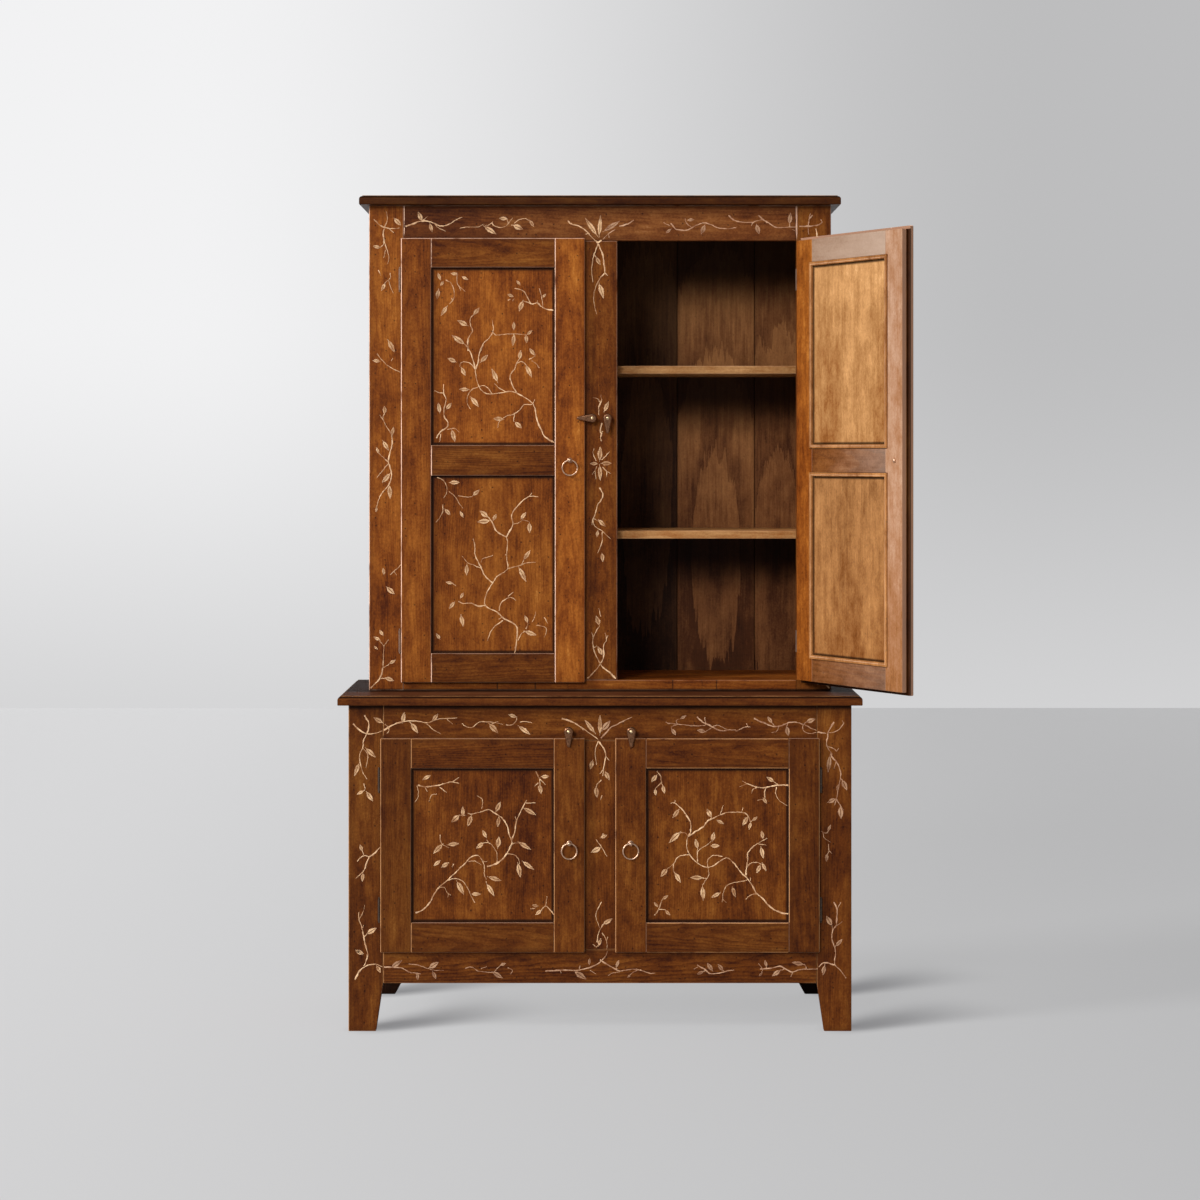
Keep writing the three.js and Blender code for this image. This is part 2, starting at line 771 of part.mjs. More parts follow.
// The origin is on the floor, under the middle of the whole piece with its door open
const cupboard = new THREE.Group();
cupboard.name = 'step_back_cupboard';
cupboard.add(carcase, ...doors);
const bounds = new THREE.Box3().setFromObject(cupboard, true);
const middle = bounds.getCenter(new THREE.Vector3());
cupboard.position.set(-middle.x, -middle.y, -bounds.min.z);

export default cupboard;
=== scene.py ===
import math
import random

import bmesh
import bpy
from mathutils import Matrix, Vector
from mathutils.geometry import interpolate_bezier


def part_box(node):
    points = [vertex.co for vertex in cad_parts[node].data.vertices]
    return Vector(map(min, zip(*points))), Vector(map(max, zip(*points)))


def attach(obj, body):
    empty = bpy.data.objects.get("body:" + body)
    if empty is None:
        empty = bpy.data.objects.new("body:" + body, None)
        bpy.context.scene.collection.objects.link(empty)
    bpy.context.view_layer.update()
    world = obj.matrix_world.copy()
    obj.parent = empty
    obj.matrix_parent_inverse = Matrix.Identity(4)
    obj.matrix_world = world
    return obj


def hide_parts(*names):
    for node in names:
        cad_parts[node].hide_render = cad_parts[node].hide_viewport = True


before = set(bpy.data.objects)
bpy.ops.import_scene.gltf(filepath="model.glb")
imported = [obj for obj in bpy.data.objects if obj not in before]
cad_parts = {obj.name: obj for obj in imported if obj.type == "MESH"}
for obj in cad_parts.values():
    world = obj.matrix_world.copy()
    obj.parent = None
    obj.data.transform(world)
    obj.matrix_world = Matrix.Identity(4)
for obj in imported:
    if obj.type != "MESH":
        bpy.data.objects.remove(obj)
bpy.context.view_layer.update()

# The room. The photograph is level and square on, from about seven metres, with the horizon
# above the middle of the picture. A pale floor runs back to a pale wall. A strong soft light
# comes in low from the left, and a weaker one from the front reaches into the open shelves.
picture_width = 1200
focal_pixels = 2830
horizon_rise = 145
sensor_width = 36.0
eye_height = 1.466
eye_distance = 7.2
wall_distance = 9.2
room_half = 9.0
room_height = 6.0

waist_low, waist_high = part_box("waist_board")
case_middle = (waist_low.x + waist_high.x) / 2
case_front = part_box("base_stile_left")[0].y


def added(name, data):
    """A new object in the scene."""
    thing = bpy.data.objects.new(name, data)
    bpy.context.scene.collection.objects.link(thing)
    return thing


camera = added("camera", bpy.data.cameras.new("camera"))
camera.data.sensor_width = sensor_width
camera.data.lens = sensor_width * focal_pixels / picture_width
camera.data.shift_y = -horizon_rise / picture_width
camera.location = (case_middle, case_front - eye_distance, eye_height)
camera.rotation_euler = (math.radians(90), 0, 0)
bpy.context.scene.camera = camera
bpy.context.scene.view_settings.view_transform = "Standard"


def tone(red, green, blue):
    """A colour as read off a sample card, from 0 to 255, turned into linear light."""
    channels = []
    for byte in (red, green, blue):
        share = byte / 255
        channels.append(share / 12.92 if share <= 0.04045 else ((share + 0.055) / 1.055) ** 2.4)
    return (*channels, 1.0)


class Value:
    """A number inside a finish. The usual signs between two of them add the nodes."""

    def __init__(self, finish, socket):
        self.finish = finish
        self.socket = socket

    def joined(self, operation, *values):
        return self.finish.value("Math", {"operation": operation}, dict(enumerate(values)))

    def __add__(self, other):
        return self.joined("ADD", self, other)

    def __radd__(self, other):
        return self.joined("ADD", other, self)

    def __sub__(self, other):
        return self.joined("SUBTRACT", self, other)

    def __rsub__(self, other):
        return self.joined("SUBTRACT", other, self)

    def __mul__(self, other):
        return self.joined("MULTIPLY", self, other)

    def __rmul__(self, other):
        return self.joined("MULTIPLY", other, self)

    def __truediv__(self, other):
        return self.joined("DIVIDE", self, other)

    def least(self, other):
        return self.joined("MINIMUM", self, other)

    def most(self, other):
        return self.joined("MAXIMUM", self, other)

    def part(self):
        return self.joined("FRACT", self)

    def root(self):
        return self.joined("SQRT", self)

    def plain(self):
        return self.joined("ABSOLUTE", self)

    def rise(self, start, end):
        """0 at start and 1 at end, with a soft bend at both."""
        ends = {"Value": self, "From Min": start, "From Max": end}
        return self.finish.value("MapRange", {"interpolation_type": "SMOOTHSTEP"}, ends)

    def fade(self, start, end):
        """1 at start and 0 at end."""
        return 1 - self.rise(start, end)


class Finish:
    """A material being made: one call adds a node with its settings and its values."""

    def __init__(self, name, kind=bpy.data.materials):
        self.owner = kind.new(name)
        self.owner.use_nodes = True
        self.nodes = self.owner.node_tree.nodes
        self.links = self.owner.node_tree.links

    def node(self, kind, settings=None, values=None):
        made = self.nodes.new("ShaderNode" + kind)
        for setting, value in (settings or {}).items():
            if setting == "stops":
                self.set_stops(made.color_ramp, value)
            else:
                setattr(made, setting, value)
        for socket, value in (values or {}).items():
            self.feed(made.inputs[socket], value)
        return made

    def set_stops(self, ramp, stops):
        while len(ramp.elements) < len(stops):
            ramp.elements.new(1.0)
        for element, (place, colour) in zip(ramp.elements, stops):
            element.position = place
            element.color = colour

    def feed(self, socket, value):
        if isinstance(value, Value):
            self.links.new(value.socket, socket)
        else:
            socket.default_value = value

    def value(self, kind, settings=None, values=None, output=0):
        return Value(self, self.node(kind, settings, values).outputs[output])

    def vector(self, operation, *values):
        return self.value("VectorMath", {"operation": operation}, dict(enumerate(values)))

    def spot(self):
        return self.value("TexCoord", output="Object")

    def parts(self, vector):
        """The three numbers of a place."""
        return [Value(self, output) for output in self.node("SeparateXYZ", None, {0: vector}).outputs]

    def mix(self, share, first, second, blend="MIX"):
        """The first colour where the share is 0, and the second where it is 1."""
        settings = {"data_type": "RGBA", "blend_type": blend}
        return self.value("Mix", settings, {0: share, 6: first, 7: second}, 2)

    def noise(self, place, scale, detail=2.0, roughness=0.5):
        values = {"Vector": place, "Scale": scale, "Detail": detail, "Roughness": roughness}
        return self.value("TexNoise", None, values)

    def shader(self, **values):
        made = self.nodes["Principled BSDF"]
        for name, value in values.items():
            self.feed(made.inputs[name.replace("_", " ").title().replace("Ior", "IOR")], value)
        return made


# The floor and wall tones run from light on the left to darker on the right, and the wall is brightest high
# on the left: a painted light falloff. The floor's seen tone also carries painted shadows of the feet.
floor_tones = [tone(208, 208, 209), tone(192, 192, 193)]
floor_seen_tones = [tone(218, 218, 219), tone(184, 184, 185)]
floor_seen_share = 0.8
foot_inset = 0.035
foot_setback = 0.01
foot_shadow_share = 0.75
foot_shadow_tone = tone(118, 118, 121)
foot_shadow_turn = math.radians(41)
shadow_start = (-0.06, 0.08)
shadow_end = (0.1, 0.62)
shadow_sides = (0.1, 1.3)
shadow_half = 0.06
shadow_spread = 0.22
room_span = (-2.6, 2.6)
wall_span = (-0.6, 2.4)
wall_high_tones = [tone(242, 242, 243), tone(189, 189, 190)]
wall_low_tones = [tone(210, 210, 211), tone(212, 212, 213)]


def across_room(finish, tones):
    """A painted light falloff: a tone that changes softly from the left of the room to the right."""
    return finish.mix(finish.parts(finish.spot())[0].rise(*room_span), *tones)


def meshed(name, shape, finish):
    """A finished shape as a mesh with its material."""
    mesh = bpy.data.meshes.new(name)
    shape.to_mesh(mesh)
    shape.free()
    mesh.materials.append(finish)
    return mesh


def room_plane(name, finish, *corners):
    shape = bmesh.new()
    shape.faces.new([shape.verts.new(corner) for corner in corners])
    added(name, meshed(name, shape, finish.owner))


def backdrop(finish, shader, seen, share):
    """Shows the camera a set tone in place of some of the light that falls on a surface."""
    glow = finish.value("Emission", None, {"Color": seen})
    seen_share = finish.value("LightPath", output="Is Camera Ray") * share
    both = finish.value("MixShader", None, {0: seen_share, 1: Value(finish, shader.outputs[0]), 2: glow})
    finish.feed(finish.nodes["Material Output"].inputs["Surface"], both)


def foot_shadow(finish, foot):
    """The long soft shadow of one foot, which runs back and to the right."""
    across, back, _ = finish.parts(finish.vector("SUBTRACT", finish.spot(), foot))
    turn_across, turn_back = math.cos(foot_shadow_turn), math.sin(foot_shadow_turn)
    away = across * turn_across + back * turn_back
    beside = (back * turn_across - across * turn_back).plain()
    ends = away.rise(*shadow_start) * away.fade(*shadow_end)
    return ends * (beside / (away * shadow_spread + shadow_half)).fade(*shadow_sides)


floor_finish = Finish("floor")
floor_shader = floor_finish.shader(
    base_color=across_room(floor_finish, floor_tones), roughness=0.8, specular_IOR_level=0.1
)
shadows = 0.0
feet_low, feet_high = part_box("base_stile_left")[0].x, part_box("base_stile_right")[1].x
for foot_x in (feet_low + foot_inset, feet_high - foot_inset):
    for foot_y in (case_front + foot_setback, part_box("base_back")[0].y):
        shadow = foot_shadow(floor_finish, (foot_x, foot_y, 0))
        shadows = shadow.most(shadows)
floor_lit = across_room(floor_finish, floor_seen_tones)
floor_seen = floor_finish.mix(shadows * foot_shadow_share, floor_lit, foot_shadow_tone)
backdrop(floor_finish, floor_shader, floor_seen, floor_seen_share)
wall_finish = Finish("wall")
wall_shader = wall_finish.shader(base_color=floor_tones[1], roughness=0.9)
wall_rise = wall_finish.parts(wall_finish.spot())[2].rise(*wall_span)
wall_tones = [across_room(wall_finish, tones) for tones in (wall_low_tones, wall_high_tones)]
backdrop(wall_finish, wall_shader, wall_finish.mix(wall_rise, *wall_tones), 1.0)

near, far = case_front - room_half, case_front + wall_distance
far_corners = [(-room_half, far, 0), (room_half, far, 0)]
room_plane("floor", floor_finish, (-room_half, near, 0), (room_half, near, 0), *far_corners[::-1])
room_plane("wall", wall_finish, *far_corners, (room_half, far, room_height), (-room_half, far, room_height))

sky = Finish("sky", bpy.data.worlds)
bpy.context.scene.world = sky.owner
sky_strength = 0.34
sky_seen = 0.8
sky_camera = sky.value("LightPath", output="Is Camera Ray")
sky.feed(sky.nodes["Background"].inputs["Color"], (1.0, 1.0, 1.0, 1.0))
sky.feed(sky.nodes["Background"].inputs["Strength"], sky_camera * (sky_seen - sky_strength) + sky_strength)


def daylight(name, source, power, spread):
    """Even light from one side, where the source is the way to look into it."""
    data = bpy.data.lights.new(name, "SUN")
    data.energy = power
    data.angle = math.radians(spread)
    added(name, data).rotation_euler = Vector(source).to_track_quat("Z", "Y").to_euler()


daylight("side_light", source=(-0.91, -0.41, 0.53), power=2.6, spread=14)
daylight("front_light", source=(-0.4, -1.0, 0.42), power=1.6, spread=20)

# The lower case. Two wide sides, cut away at the bottom to leave legs, carry a face frame of
# stiles and rails in reddish brown stained wood. Every arris is worn round and pale, with a painted
# highlight where it faces the light, and glaze and painted shade darken the wood towards the joints.
arris = 0.0018


def ramp(*stops):
    """Tones along a scale from 0 to 1, each given as its place and its colour."""
    return [(place, tone(*colour)) for place, *colour in stops]


stain = ramp(
    (0.0, 36, 14, 5), (0.28, 86, 37, 9), (0.5, 130, 67, 19), (0.72, 166, 97, 34), (1.0, 214, 147, 70)
)
pore_tone = tone(40, 18, 8)
# Pale tones for worn arrises, which also carry a painted highlight where an arris faces the light.
worn_highlight_tone = tone(240, 196, 168)
worn_highlight_tan = tone(210, 152, 98)
end_tone = tone(170, 132, 108)
pale = ramp(
    (0.0, 96, 48, 16), (0.28, 136, 84, 40), (0.5, 166, 119, 72), (0.72, 196, 146, 94), (1.0, 234, 192, 142)
)
# Ramps for a painted sheen on the inner faces of the doors: a pale pinkish one and a greyer one.
sheen_pale = ramp(
    (0.0, 92, 54, 28), (0.3, 148, 98, 58), (0.5, 164, 119, 87), (0.72, 181, 145, 119), (1.0, 202, 173, 152)
)
sheen_grey = ramp((0.0, 132, 100, 78), (0.5, 160, 134, 114), (1.0, 178, 154, 136))
# A dark tone for glaze in the joints and for painted shade in the recesses.
glaze_and_shade_tone = tone(54, 25, 11)
# A near-black tone for dark joints and for painted shade: contact shadows, shadow bands, creases and the
# rebate step.
seam_and_shade_tone = tone(24, 9, 3)
seeds = iter(range(1, 400))

# Where each mark on a board starts and ends, counted from its back, its top end or its outline.
arris_band = (arris * 0.9, arris * 1.4)
thin_skin = (0.0006, 0.002)
dark_edge = (0.0, 0.022)
end_depth = (0.0115, 0.0135)
cap_depth = (0.0186, 0.0196)
cap_reach = (0.0075, 0.0085)
rebate_shade_start = (0.0125, 0.014)
rebate_shade_end = (0.0205, 0.0225)
fillet_start = (0.0016, 0.003)
fillet_end = (0.0048, 0.0064)
ledge_line = (0.0004, 0.0014)
ledge_depth = (0.001, 0.0024)
end_face_skin = (0.0006, 0.0016)
end_face_outline = (0.0003, 0.0009)
rub_highlight_depth = (0.003, 0.006)
rub_highlight_ends = (0.0, 0.002)
rub_highlight_top = (0.0, 0.02)
ceiling_shade = (-0.17, -0.05)
ceiling_edge = (-0.004, 0.0)
dusk_shade = (-0.055, -0.025)
speck_scale = 38.0
speck_chosen = (0.55, 0.9)
speck_size = (0.03, 0.12)
pore_size = (0.64, 0.74)
pore_share = 0.45
end_face_share = 0.7
seam_and_shade_share = 0.85
hollow_shade_share = 0.9


def wood(name, low, high, grain, stops=stain, tint=1.0, figure=0.35, wear=0.5, glaze=0.3, home=None,
         back_share=0.0, back_stops=pale, grime=0.0, fall=0.0, contrast=1.0, dullness=0.5,
         ring_gap=0.0052, jag=0.0, lean=0.05, ledge=None, back_fall=0.0, rub=worn_highlight_tone, rim=0.0,
         seams=(0.0, 0.0), lines=0.3, specks=0.8, rub_above=None, dusk=None,
         rub_span=None, joined=False, under=(), under_share=0.9, weak=0.3, top_highlight=0.0):
    """Stained wood for one board, whose box and grain give the pattern its place, with painted light and
    shade.
    """
    finish = Finish(name)
    seed = next(seeds)
    spot = finish.spot()
    lit_side = 1
    if home:
        turned = {"Vector": spot, "Location": home[0], "Rotation": (0, 0, home[1]), "Scale": (home[2], 1, 1)}
        spot = finish.value("Mapping", {"vector_type": "TEXTURE"}, turned)
        lit_side = math.copysign(1, home[2] * math.cos(home[1]))
    size = Vector(high) - Vector(low)
    middle = (Vector(high) + Vector(low)) / 2
    deep = min((axis for axis in range(3) if axis != grain), key=lambda axis: size[axis])
    order = (3 - deep - grain, deep, grain)
    seen = finish.parts(spot)
    lit_gap = (seen[0] - middle[0]) * lit_side + size[0] / 2
    picked = {slot: seen[axis] for slot, axis in enumerate(order)}
    board = finish.vector(
        "SUBTRACT", finish.value("CombineXYZ", None, picked), [middle[axis] for axis in order]
    )

    def layer(along, scale, detail, roughness, step=0):
        start = (seed * 3.17 + step * 7.3, seed * 1.31 + step * 2.9, seed * 5.71 + step * 4.1)
        stretched = finish.vector("MULTIPLY_ADD", board, (1, 1, along), start)
        return finish.noise(stretched, scale, detail, roughness)

    blotch = layer(along=0.3, scale=8, detail=3, roughness=0.55)
    mottle = layer(along=0.5, scale=36, detail=4, roughness=0.62, step=1)
    streak = layer(along=0.05, scale=115, detail=3, roughness=0.55, step=2)
    fine = layer(along=0.03, scale=520, detail=2, roughness=0.5, step=3)
    pores = layer(along=0.07, scale=1150, detail=1, roughness=0.5, step=4).rise(*pore_size)
    fleck = layer(along=0.8, scale=210, detail=3, roughness=0.7, step=5)

    half = [size[axis] / 2 for axis in order]
    gaps = finish.parts(finish.vector("SUBTRACT", half, finish.vector("ABSOLUTE", board)))
    edge = gaps[0].least(gaps[1]).most(gaps[0].most(gaps[1]).least(gaps[2]))

    across, inward, along = finish.parts(board)
    offset = 0.03 * math.sin(seed * 2.3)
    pith = 0.06 + 0.03 * math.sin(seed * 1.7)
    slope = lean * (0.75 + 0.25 * math.cos(seed * 3.1))
    side = across + offset + (blotch - 0.5) * 0.05
    heart = along * slope + inward + pith + (mottle - 0.5) * 0.006 + (streak - 0.5) * jag
    rings = ((side * side + heart * heart).root() / ring_gap).part()
    late = rings.fade(0.0, 0.75)

    broad = (blotch - 0.5) * 0.66 + (mottle - 0.5) * 0.66
    value = broad + (fleck - 0.5) * 0.42 + (streak - 0.5) * lines + (fine - 0.5) * lines * 0.67
    value = value * contrast + 0.5 + 0.08 * figure
    # Lighter towards the top and darker towards the bottom along the grain: a painted light falloff.
    if fall:
        value = value + along * (fall / size[grain])
    colour = finish.value("ValToRGB", {"stops": stops}, {0: value - late * (0.2 * figure)})
    flat = finish.value("CombineXYZ", None, {0: across, 1: along})
    speck_cells = finish.node(
        "TexVoronoi", {"voronoi_dimensions": "2D"}, {"Vector": flat, "Scale": speck_scale + seed % 5}
    )
    pick = finish.parts(Value(finish, speck_cells.outputs["Color"]))[0].rise(*speck_chosen)
    ragged = Value(finish, speck_cells.outputs["Distance"]) + (fleck - 0.5) * 0.12
    speck = ragged.fade(*speck_size) * pick
    colour = finish.mix(pores * pore_share, colour, pore_tone)
    colour = finish.mix(speck * specks, colour, pore_tone)
    # Darker towards every edge of a board: glaze in the joints, and painted shade where a board sits back in
    # a recess, strongest on the panels.
    shade = edge.fade(*dark_edge) * mottle.rise(0.3, 0.65) * glaze
    colour = finish.mix(shade, colour, glaze_and_shade_tone)
    tints = tint if isinstance(tint, tuple) else (tint, tint, tint)
    colour = finish.mix(1.0, colour, (*tints, 1.0), "MULTIPLY")
    behind = half[1] - inward
    outline_gap = gaps[0].least(gaps[2])
    top_gap = high[2] - seen[2]
    rubbed = edge.fade(*arris_band)
    # The pale arris is wear and a painted highlight: full strength on the arrises that face the light, a weak
    # share on the others, along the top edge when asked, kept off a rail's ends when asked, and held to a
    # span or to above a level when asked.
    lit_share = lit_gap.fade(*arris_band) * (1 - weak) + weak
    if top_highlight:
        lit_share = lit_share.most(top_gap.fade(*arris_band) * top_highlight)
    if joined:
        lit_share = gaps[2].rise(*arris_band)
    if rub_span:
        within = (seen[2] - rub_span[0]).rise(*rub_highlight_ends) * (rub_span[1] - seen[2]).rise(*rub_highlight_ends)
        lit_share = (lit_share * within).most((size[0] - lit_gap).fade(*arris_band))
    rubbed = rubbed * lit_share
    if rub_above:
        rubbed = rubbed * (seen[2] - rub_above).rise(*rub_highlight_top)
    # The face behind, which is the inner face of a door part and the top face of a moulded board, takes its
    # own ramp graded along the grain: a painted sheen on the doors and beads, and painted shade on the waist
    # and cornice tops.
    if back_share:
        back_face_light_value = value + along * (back_fall / size[grain])
        back_face_light = finish.value("ValToRGB", {"stops": back_stops}, {0: back_face_light_value})
        colour = finish.mix(behind.fade(*thin_skin) * back_share, colour, back_face_light)
    # A dark line round the outline: dark joints between the back boards, and painted shade along the frame
    # and bead round a panel.
    if rim:
        colour = finish.mix(outline_gap.fade(rim - 0.005, rim) * seam_and_shade_share, colour, seam_and_shade_tone)
    # Door parts: paler end faces and outline, painted shade in the step behind the lip, and no arris
    # highlight on the inner face.
    if grime:
        capped = top_gap.fade(*cap_reach) * behind.fade(*cap_depth)
        ended = behind.fade(*end_depth).most(capped) * behind.rise(*end_face_skin)
        colour = finish.mix(ended.most(outline_gap.fade(*end_face_outline)) * end_face_share, colour, end_tone)
        rebate_shadow = behind.rise(*rebate_shade_start) * behind.fade(*rebate_shade_end) * top_gap.rise(*cap_reach)
        colour = finish.mix(rebate_shadow * grime, colour, seam_and_shade_tone)
        rubbed = rubbed * behind.rise(*rub_highlight_depth)
    # Dark bands at the bottom and top of a board: the joint and a painted contact shadow, below the waist
    # board and at the foot of the upper case.
    for gap, reach in zip((seen[2] - low[2], top_gap), seams):
        if reach:
            colour = finish.mix(gap.fade(reach * 0.3, reach) * seam_and_shade_share, colour, seam_and_shade_tone)
    # Moulded edges: the arris wear and highlight runs along the ledge line, and the fillet below the step
    # takes painted shade.
    if ledge:
        rubbed = (outline_gap - ledge).plain().fade(*ledge_line) * behind.fade(*ledge_depth)
        fillet_shade = behind.rise(*fillet_start) * behind.fade(*fillet_end)
        colour = finish.mix(fillet_shade * hollow_shade_share, colour, seam_and_shade_tone)
    # Painted shadow bands on the inner face of the back, below the frieze rail and each shelf.
    for ceiling_low, ceiling_high in under:
        dim = (seen[2] - ceiling_low).rise(*ceiling_shade) * (seen[2] - ceiling_high).fade(*ceiling_edge)
        colour = finish.mix(dim * behind.rise(*thin_skin) * under_share, colour, seam_and_shade_tone)
    # A painted contact shadow, from a little in front of the given line backwards.
    if dusk:
        colour = finish.mix((seen[1] - dusk).rise(*dusk_shade) * hollow_shade_share, colour, seam_and_shade_tone)
    # The worn arrises go on last, with their painted highlight.
    colour = finish.mix(rubbed * mottle.rise(0.25, 0.55) * wear, colour, rub)
    height = streak * 0.3 + mottle * 0.5 - pores * 0.5 - speck * 0.6
    finish.shader(
        base_color=colour,
        roughness=dullness + (mottle - 0.5) * 0.16,
        normal=finish.value("Bump", None, {"Strength": 0.4, "Distance": 0.0006, "Height": height}),
        specular_IOR_level=0.07,
    )
    return finish.owner


def block(low, high):
    shape = bmesh.new()
    size = Vector(high) - Vector(low)
    middle = (Vector(high) + Vector(low)) / 2
    bmesh.ops.create_cube(shape, size=1, matrix=Matrix.Translation(middle) @ Matrix.Diagonal((*size, 1)))
    return shape


def push(shape, faces, step):
    """Pushes faces out, with new walls behind them."""
    pushed = bmesh.ops.extrude_face_region(shape, geom=faces)
    moved = [item for item in pushed["geom"] if isinstance(item, bmesh.types.BMVert)]
    bmesh.ops.translate(shape, verts=moved, vec=step)


def outward(shape):
    """Turns every face outwards."""
    bmesh.ops.recalc_face_normals(shape, faces=shape.faces)
    return shape


def slab(corners, thickness):
    """A flat outline pushed into a board."""
    shape = bmesh.new()
    push(shape, [shape.faces.new([shape.verts.new(corner) for corner in corners])], thickness)
    return outward(shape)


def place(name, shape, body, slot, finish, stands_for=(), rounding=arris, segments=2, home=None):
    """Turns a shape into a finished piece that rides on its body."""
    if home:
        matrix = Matrix.Translation(home[0]) @ Matrix.Rotation(home[1], 4, "Z")
        bmesh.ops.transform(shape, matrix=matrix @ Matrix.Diagonal((home[2], 1, 1, 1)), verts=shape.verts)
        outward(shape)
    mesh = meshed(name, shape, finish)
    mesh.polygons.foreach_set("use_smooth", [True] * len(mesh.polygons))
    piece = added(name, mesh)
    if rounding:
        bevel = piece.modifiers.new("arris", "BEVEL")
        bevel.width = rounding
        bevel.segments = segments
        bevel.limit_method = "ANGLE"
        bevel.angle_limit = math.radians(40)
    else:
        mesh.set_sharp_from_angle(angle=math.radians(40))
    weighted = piece.modifiers.new("shading", "WEIGHTED_NORMAL")
    weighted.keep_sharp = True
    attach(piece, body)
    if stands_for:
        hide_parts(*stands_for)


def case_board(node, grain, slot="stained_wood", shape=None, **looks):
    """A board of the fixed case, in the same box as its solid."""
    low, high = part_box(node)
    finish = wood(node + "_wood", low, high, grain, **looks)
    place(node + "_board", shape or block(low, high), "carcase", slot, finish, [node])


def mirrored(corners):
    return [(2 * case_middle - x, y, z) for x, y, z in corners]


foot_width = 0.07
leg_height = 0.122
stile_low, stile_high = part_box("base_stile_left")
stile_outline = [
    (stile_low.x, stile_low.y, stile_low.z),
    (stile_low.x + foot_width, stile_low.y, stile_low.z),
    (stile_high.x, stile_low.y, leg_height),
    (stile_high.x, stile_low.y, stile_high.z),
    (stile_low.x, stile_low.y, stile_high.z),
]
stile_stock = (0, stile_high.y - stile_low.y, 0)
# Below the waist board the tops of these boards take a painted shadow, and their arrises the tan wear and
# highlight.
under_waist = {"rub": worn_highlight_tan, "seams": (0.0, 0.015)}
right_wear_and_highlight = 0.15
case_board("base_stile_left", 2, shape=slab(stile_outline, stile_stock), tint=0.43, **under_waist)
case_board(
    "base_stile_right", 2, shape=slab(mirrored(stile_outline), stile_stock), tint=0.47, wear=right_wear_and_highlight,
    **under_waist
)
case_board("base_centre_stile", 2, tint=0.5, rub=worn_highlight_tan)
case_board("base_top_rail", 0, tint=0.46, **under_waist)
case_board("base_bottom_rail", 0, tint=0.45, figure=0.8, rub=worn_highlight_tan)


def stain_sides(case):
    """The sides show as their own solids, in the same stain."""
    for node in (case + "_side_left", case + "_side_right"):
        finish = wood(node + "_wood", *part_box(node), 2, figure=0.5, wear=0.35)
        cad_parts[node].material_slots[0].material = finish


stain_sides("base")

# The inside of the lower case: a floor, one shelf and a back of upright boards, in dark
# walnut brown. The back boards have a chamfer along each joint, and the two outer ones
# reach down as back feet.
walnut = ramp(
    (0.0, 30, 14, 6), (0.3, 78, 42, 20), (0.5, 126, 79, 44), (0.75, 168, 115, 68), (1.0, 212, 160, 104)
)
inside_looks = {
    "stops": walnut, "figure": 0.9, "wear": 0.0, "glaze": 0.2, "ring_gap": 0.07, "jag": 0.055, "lean": 0.3,
    "contrast": 0.55, "lines": 0.55, "specks": 0.25,
}
shelf_looks = {"wear": 0.3, "glaze": 0.2}
back_board_width = 0.21
back_chamfer = 0.0018
bracket_foot_width = 0.083
bracket_slope = 0.067
side_offset = 0.0103

case_board("base_floor", 0, "interior_wood", tint=0.8, **inside_looks)
case_board("base_shelf", 0, "interior_wood", tint=0.8, **inside_looks)


# The back boards. The darkest tinted boards stand in painted shade and take less of the painted shadow bands,
# and every board grows darker towards the bottom as a painted light falloff.
def back_boards(node, feet, tints, under=(), fall=0.6):
    low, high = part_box(node)
    edges = [low.x] + [case_middle + step * back_board_width for step in (-2, -1, 0, 1, 2)] + [high.x]
    for count, (left, right) in enumerate(zip(edges, edges[1:])):
        if feet and count in (0, 5):
            foot_in = low.x + bracket_foot_width - side_offset
            outline = [
                (low.x, low.y, low.z),
                (foot_in, low.y, low.z),
                (foot_in + bracket_slope, low.y, leg_height),
                (low.x + right - left, low.y, leg_height),
                (low.x + right - left, low.y, high.z),
                (low.x, low.y, high.z),
            ]
            shape = slab(mirrored(outline) if count else outline, (0, high.y - low.y, 0))
        else:
            shape = block((left, low.y, leg_height if feet else low.z), (right, high.y, high.z))
        finish = wood(
            f"{node}_wood_{count}", (left, low.y, low.z), (right, high.y, high.z), 2, fall=fall,
            tint=tints[count], rim=0.0036, under=under, under_share=0.9 if tints[count] > 0.3 else 0.3,
            **inside_looks
        )
        place(
            f"{node}_board_{count}", shape, "carcase", "interior_wood", finish, [node], back_chamfer, 1
        )


# The two outer boards, which show as the back feet, are tinted dark as painted shade.
back_boards("base_back", feet=True, tints=[0.3, 0.5, 0.5, 0.5, 0.5, 0.3])

# The waist board: one wide moulded board over the lower case, with a thumbnail edge along the
# front and both ends and a square back.
thumbnail_radius = 0.008
thumbnail_step = 0.002
under_radius = 0.002
round_segments = 6
# A dark ramp for the top face of a moulded board: painted shade.
top_shade = ramp((0.0, 28, 14, 7), (0.5, 80, 45, 27), (1.0, 126, 80, 54))


def edges_on(shape, test):
    return [edge for edge in shape.edges if all(test(vert.co) for vert in edge.verts)]


def round_edges(shape, edges, radius, segments=round_segments):
    bmesh.ops.bevel(
        shape, geom=edges, offset=radius, offset_type="OFFSET", segments=segments, profile=0.5,
        affect="EDGES", material=-1, clamp_overlap=True,
    )


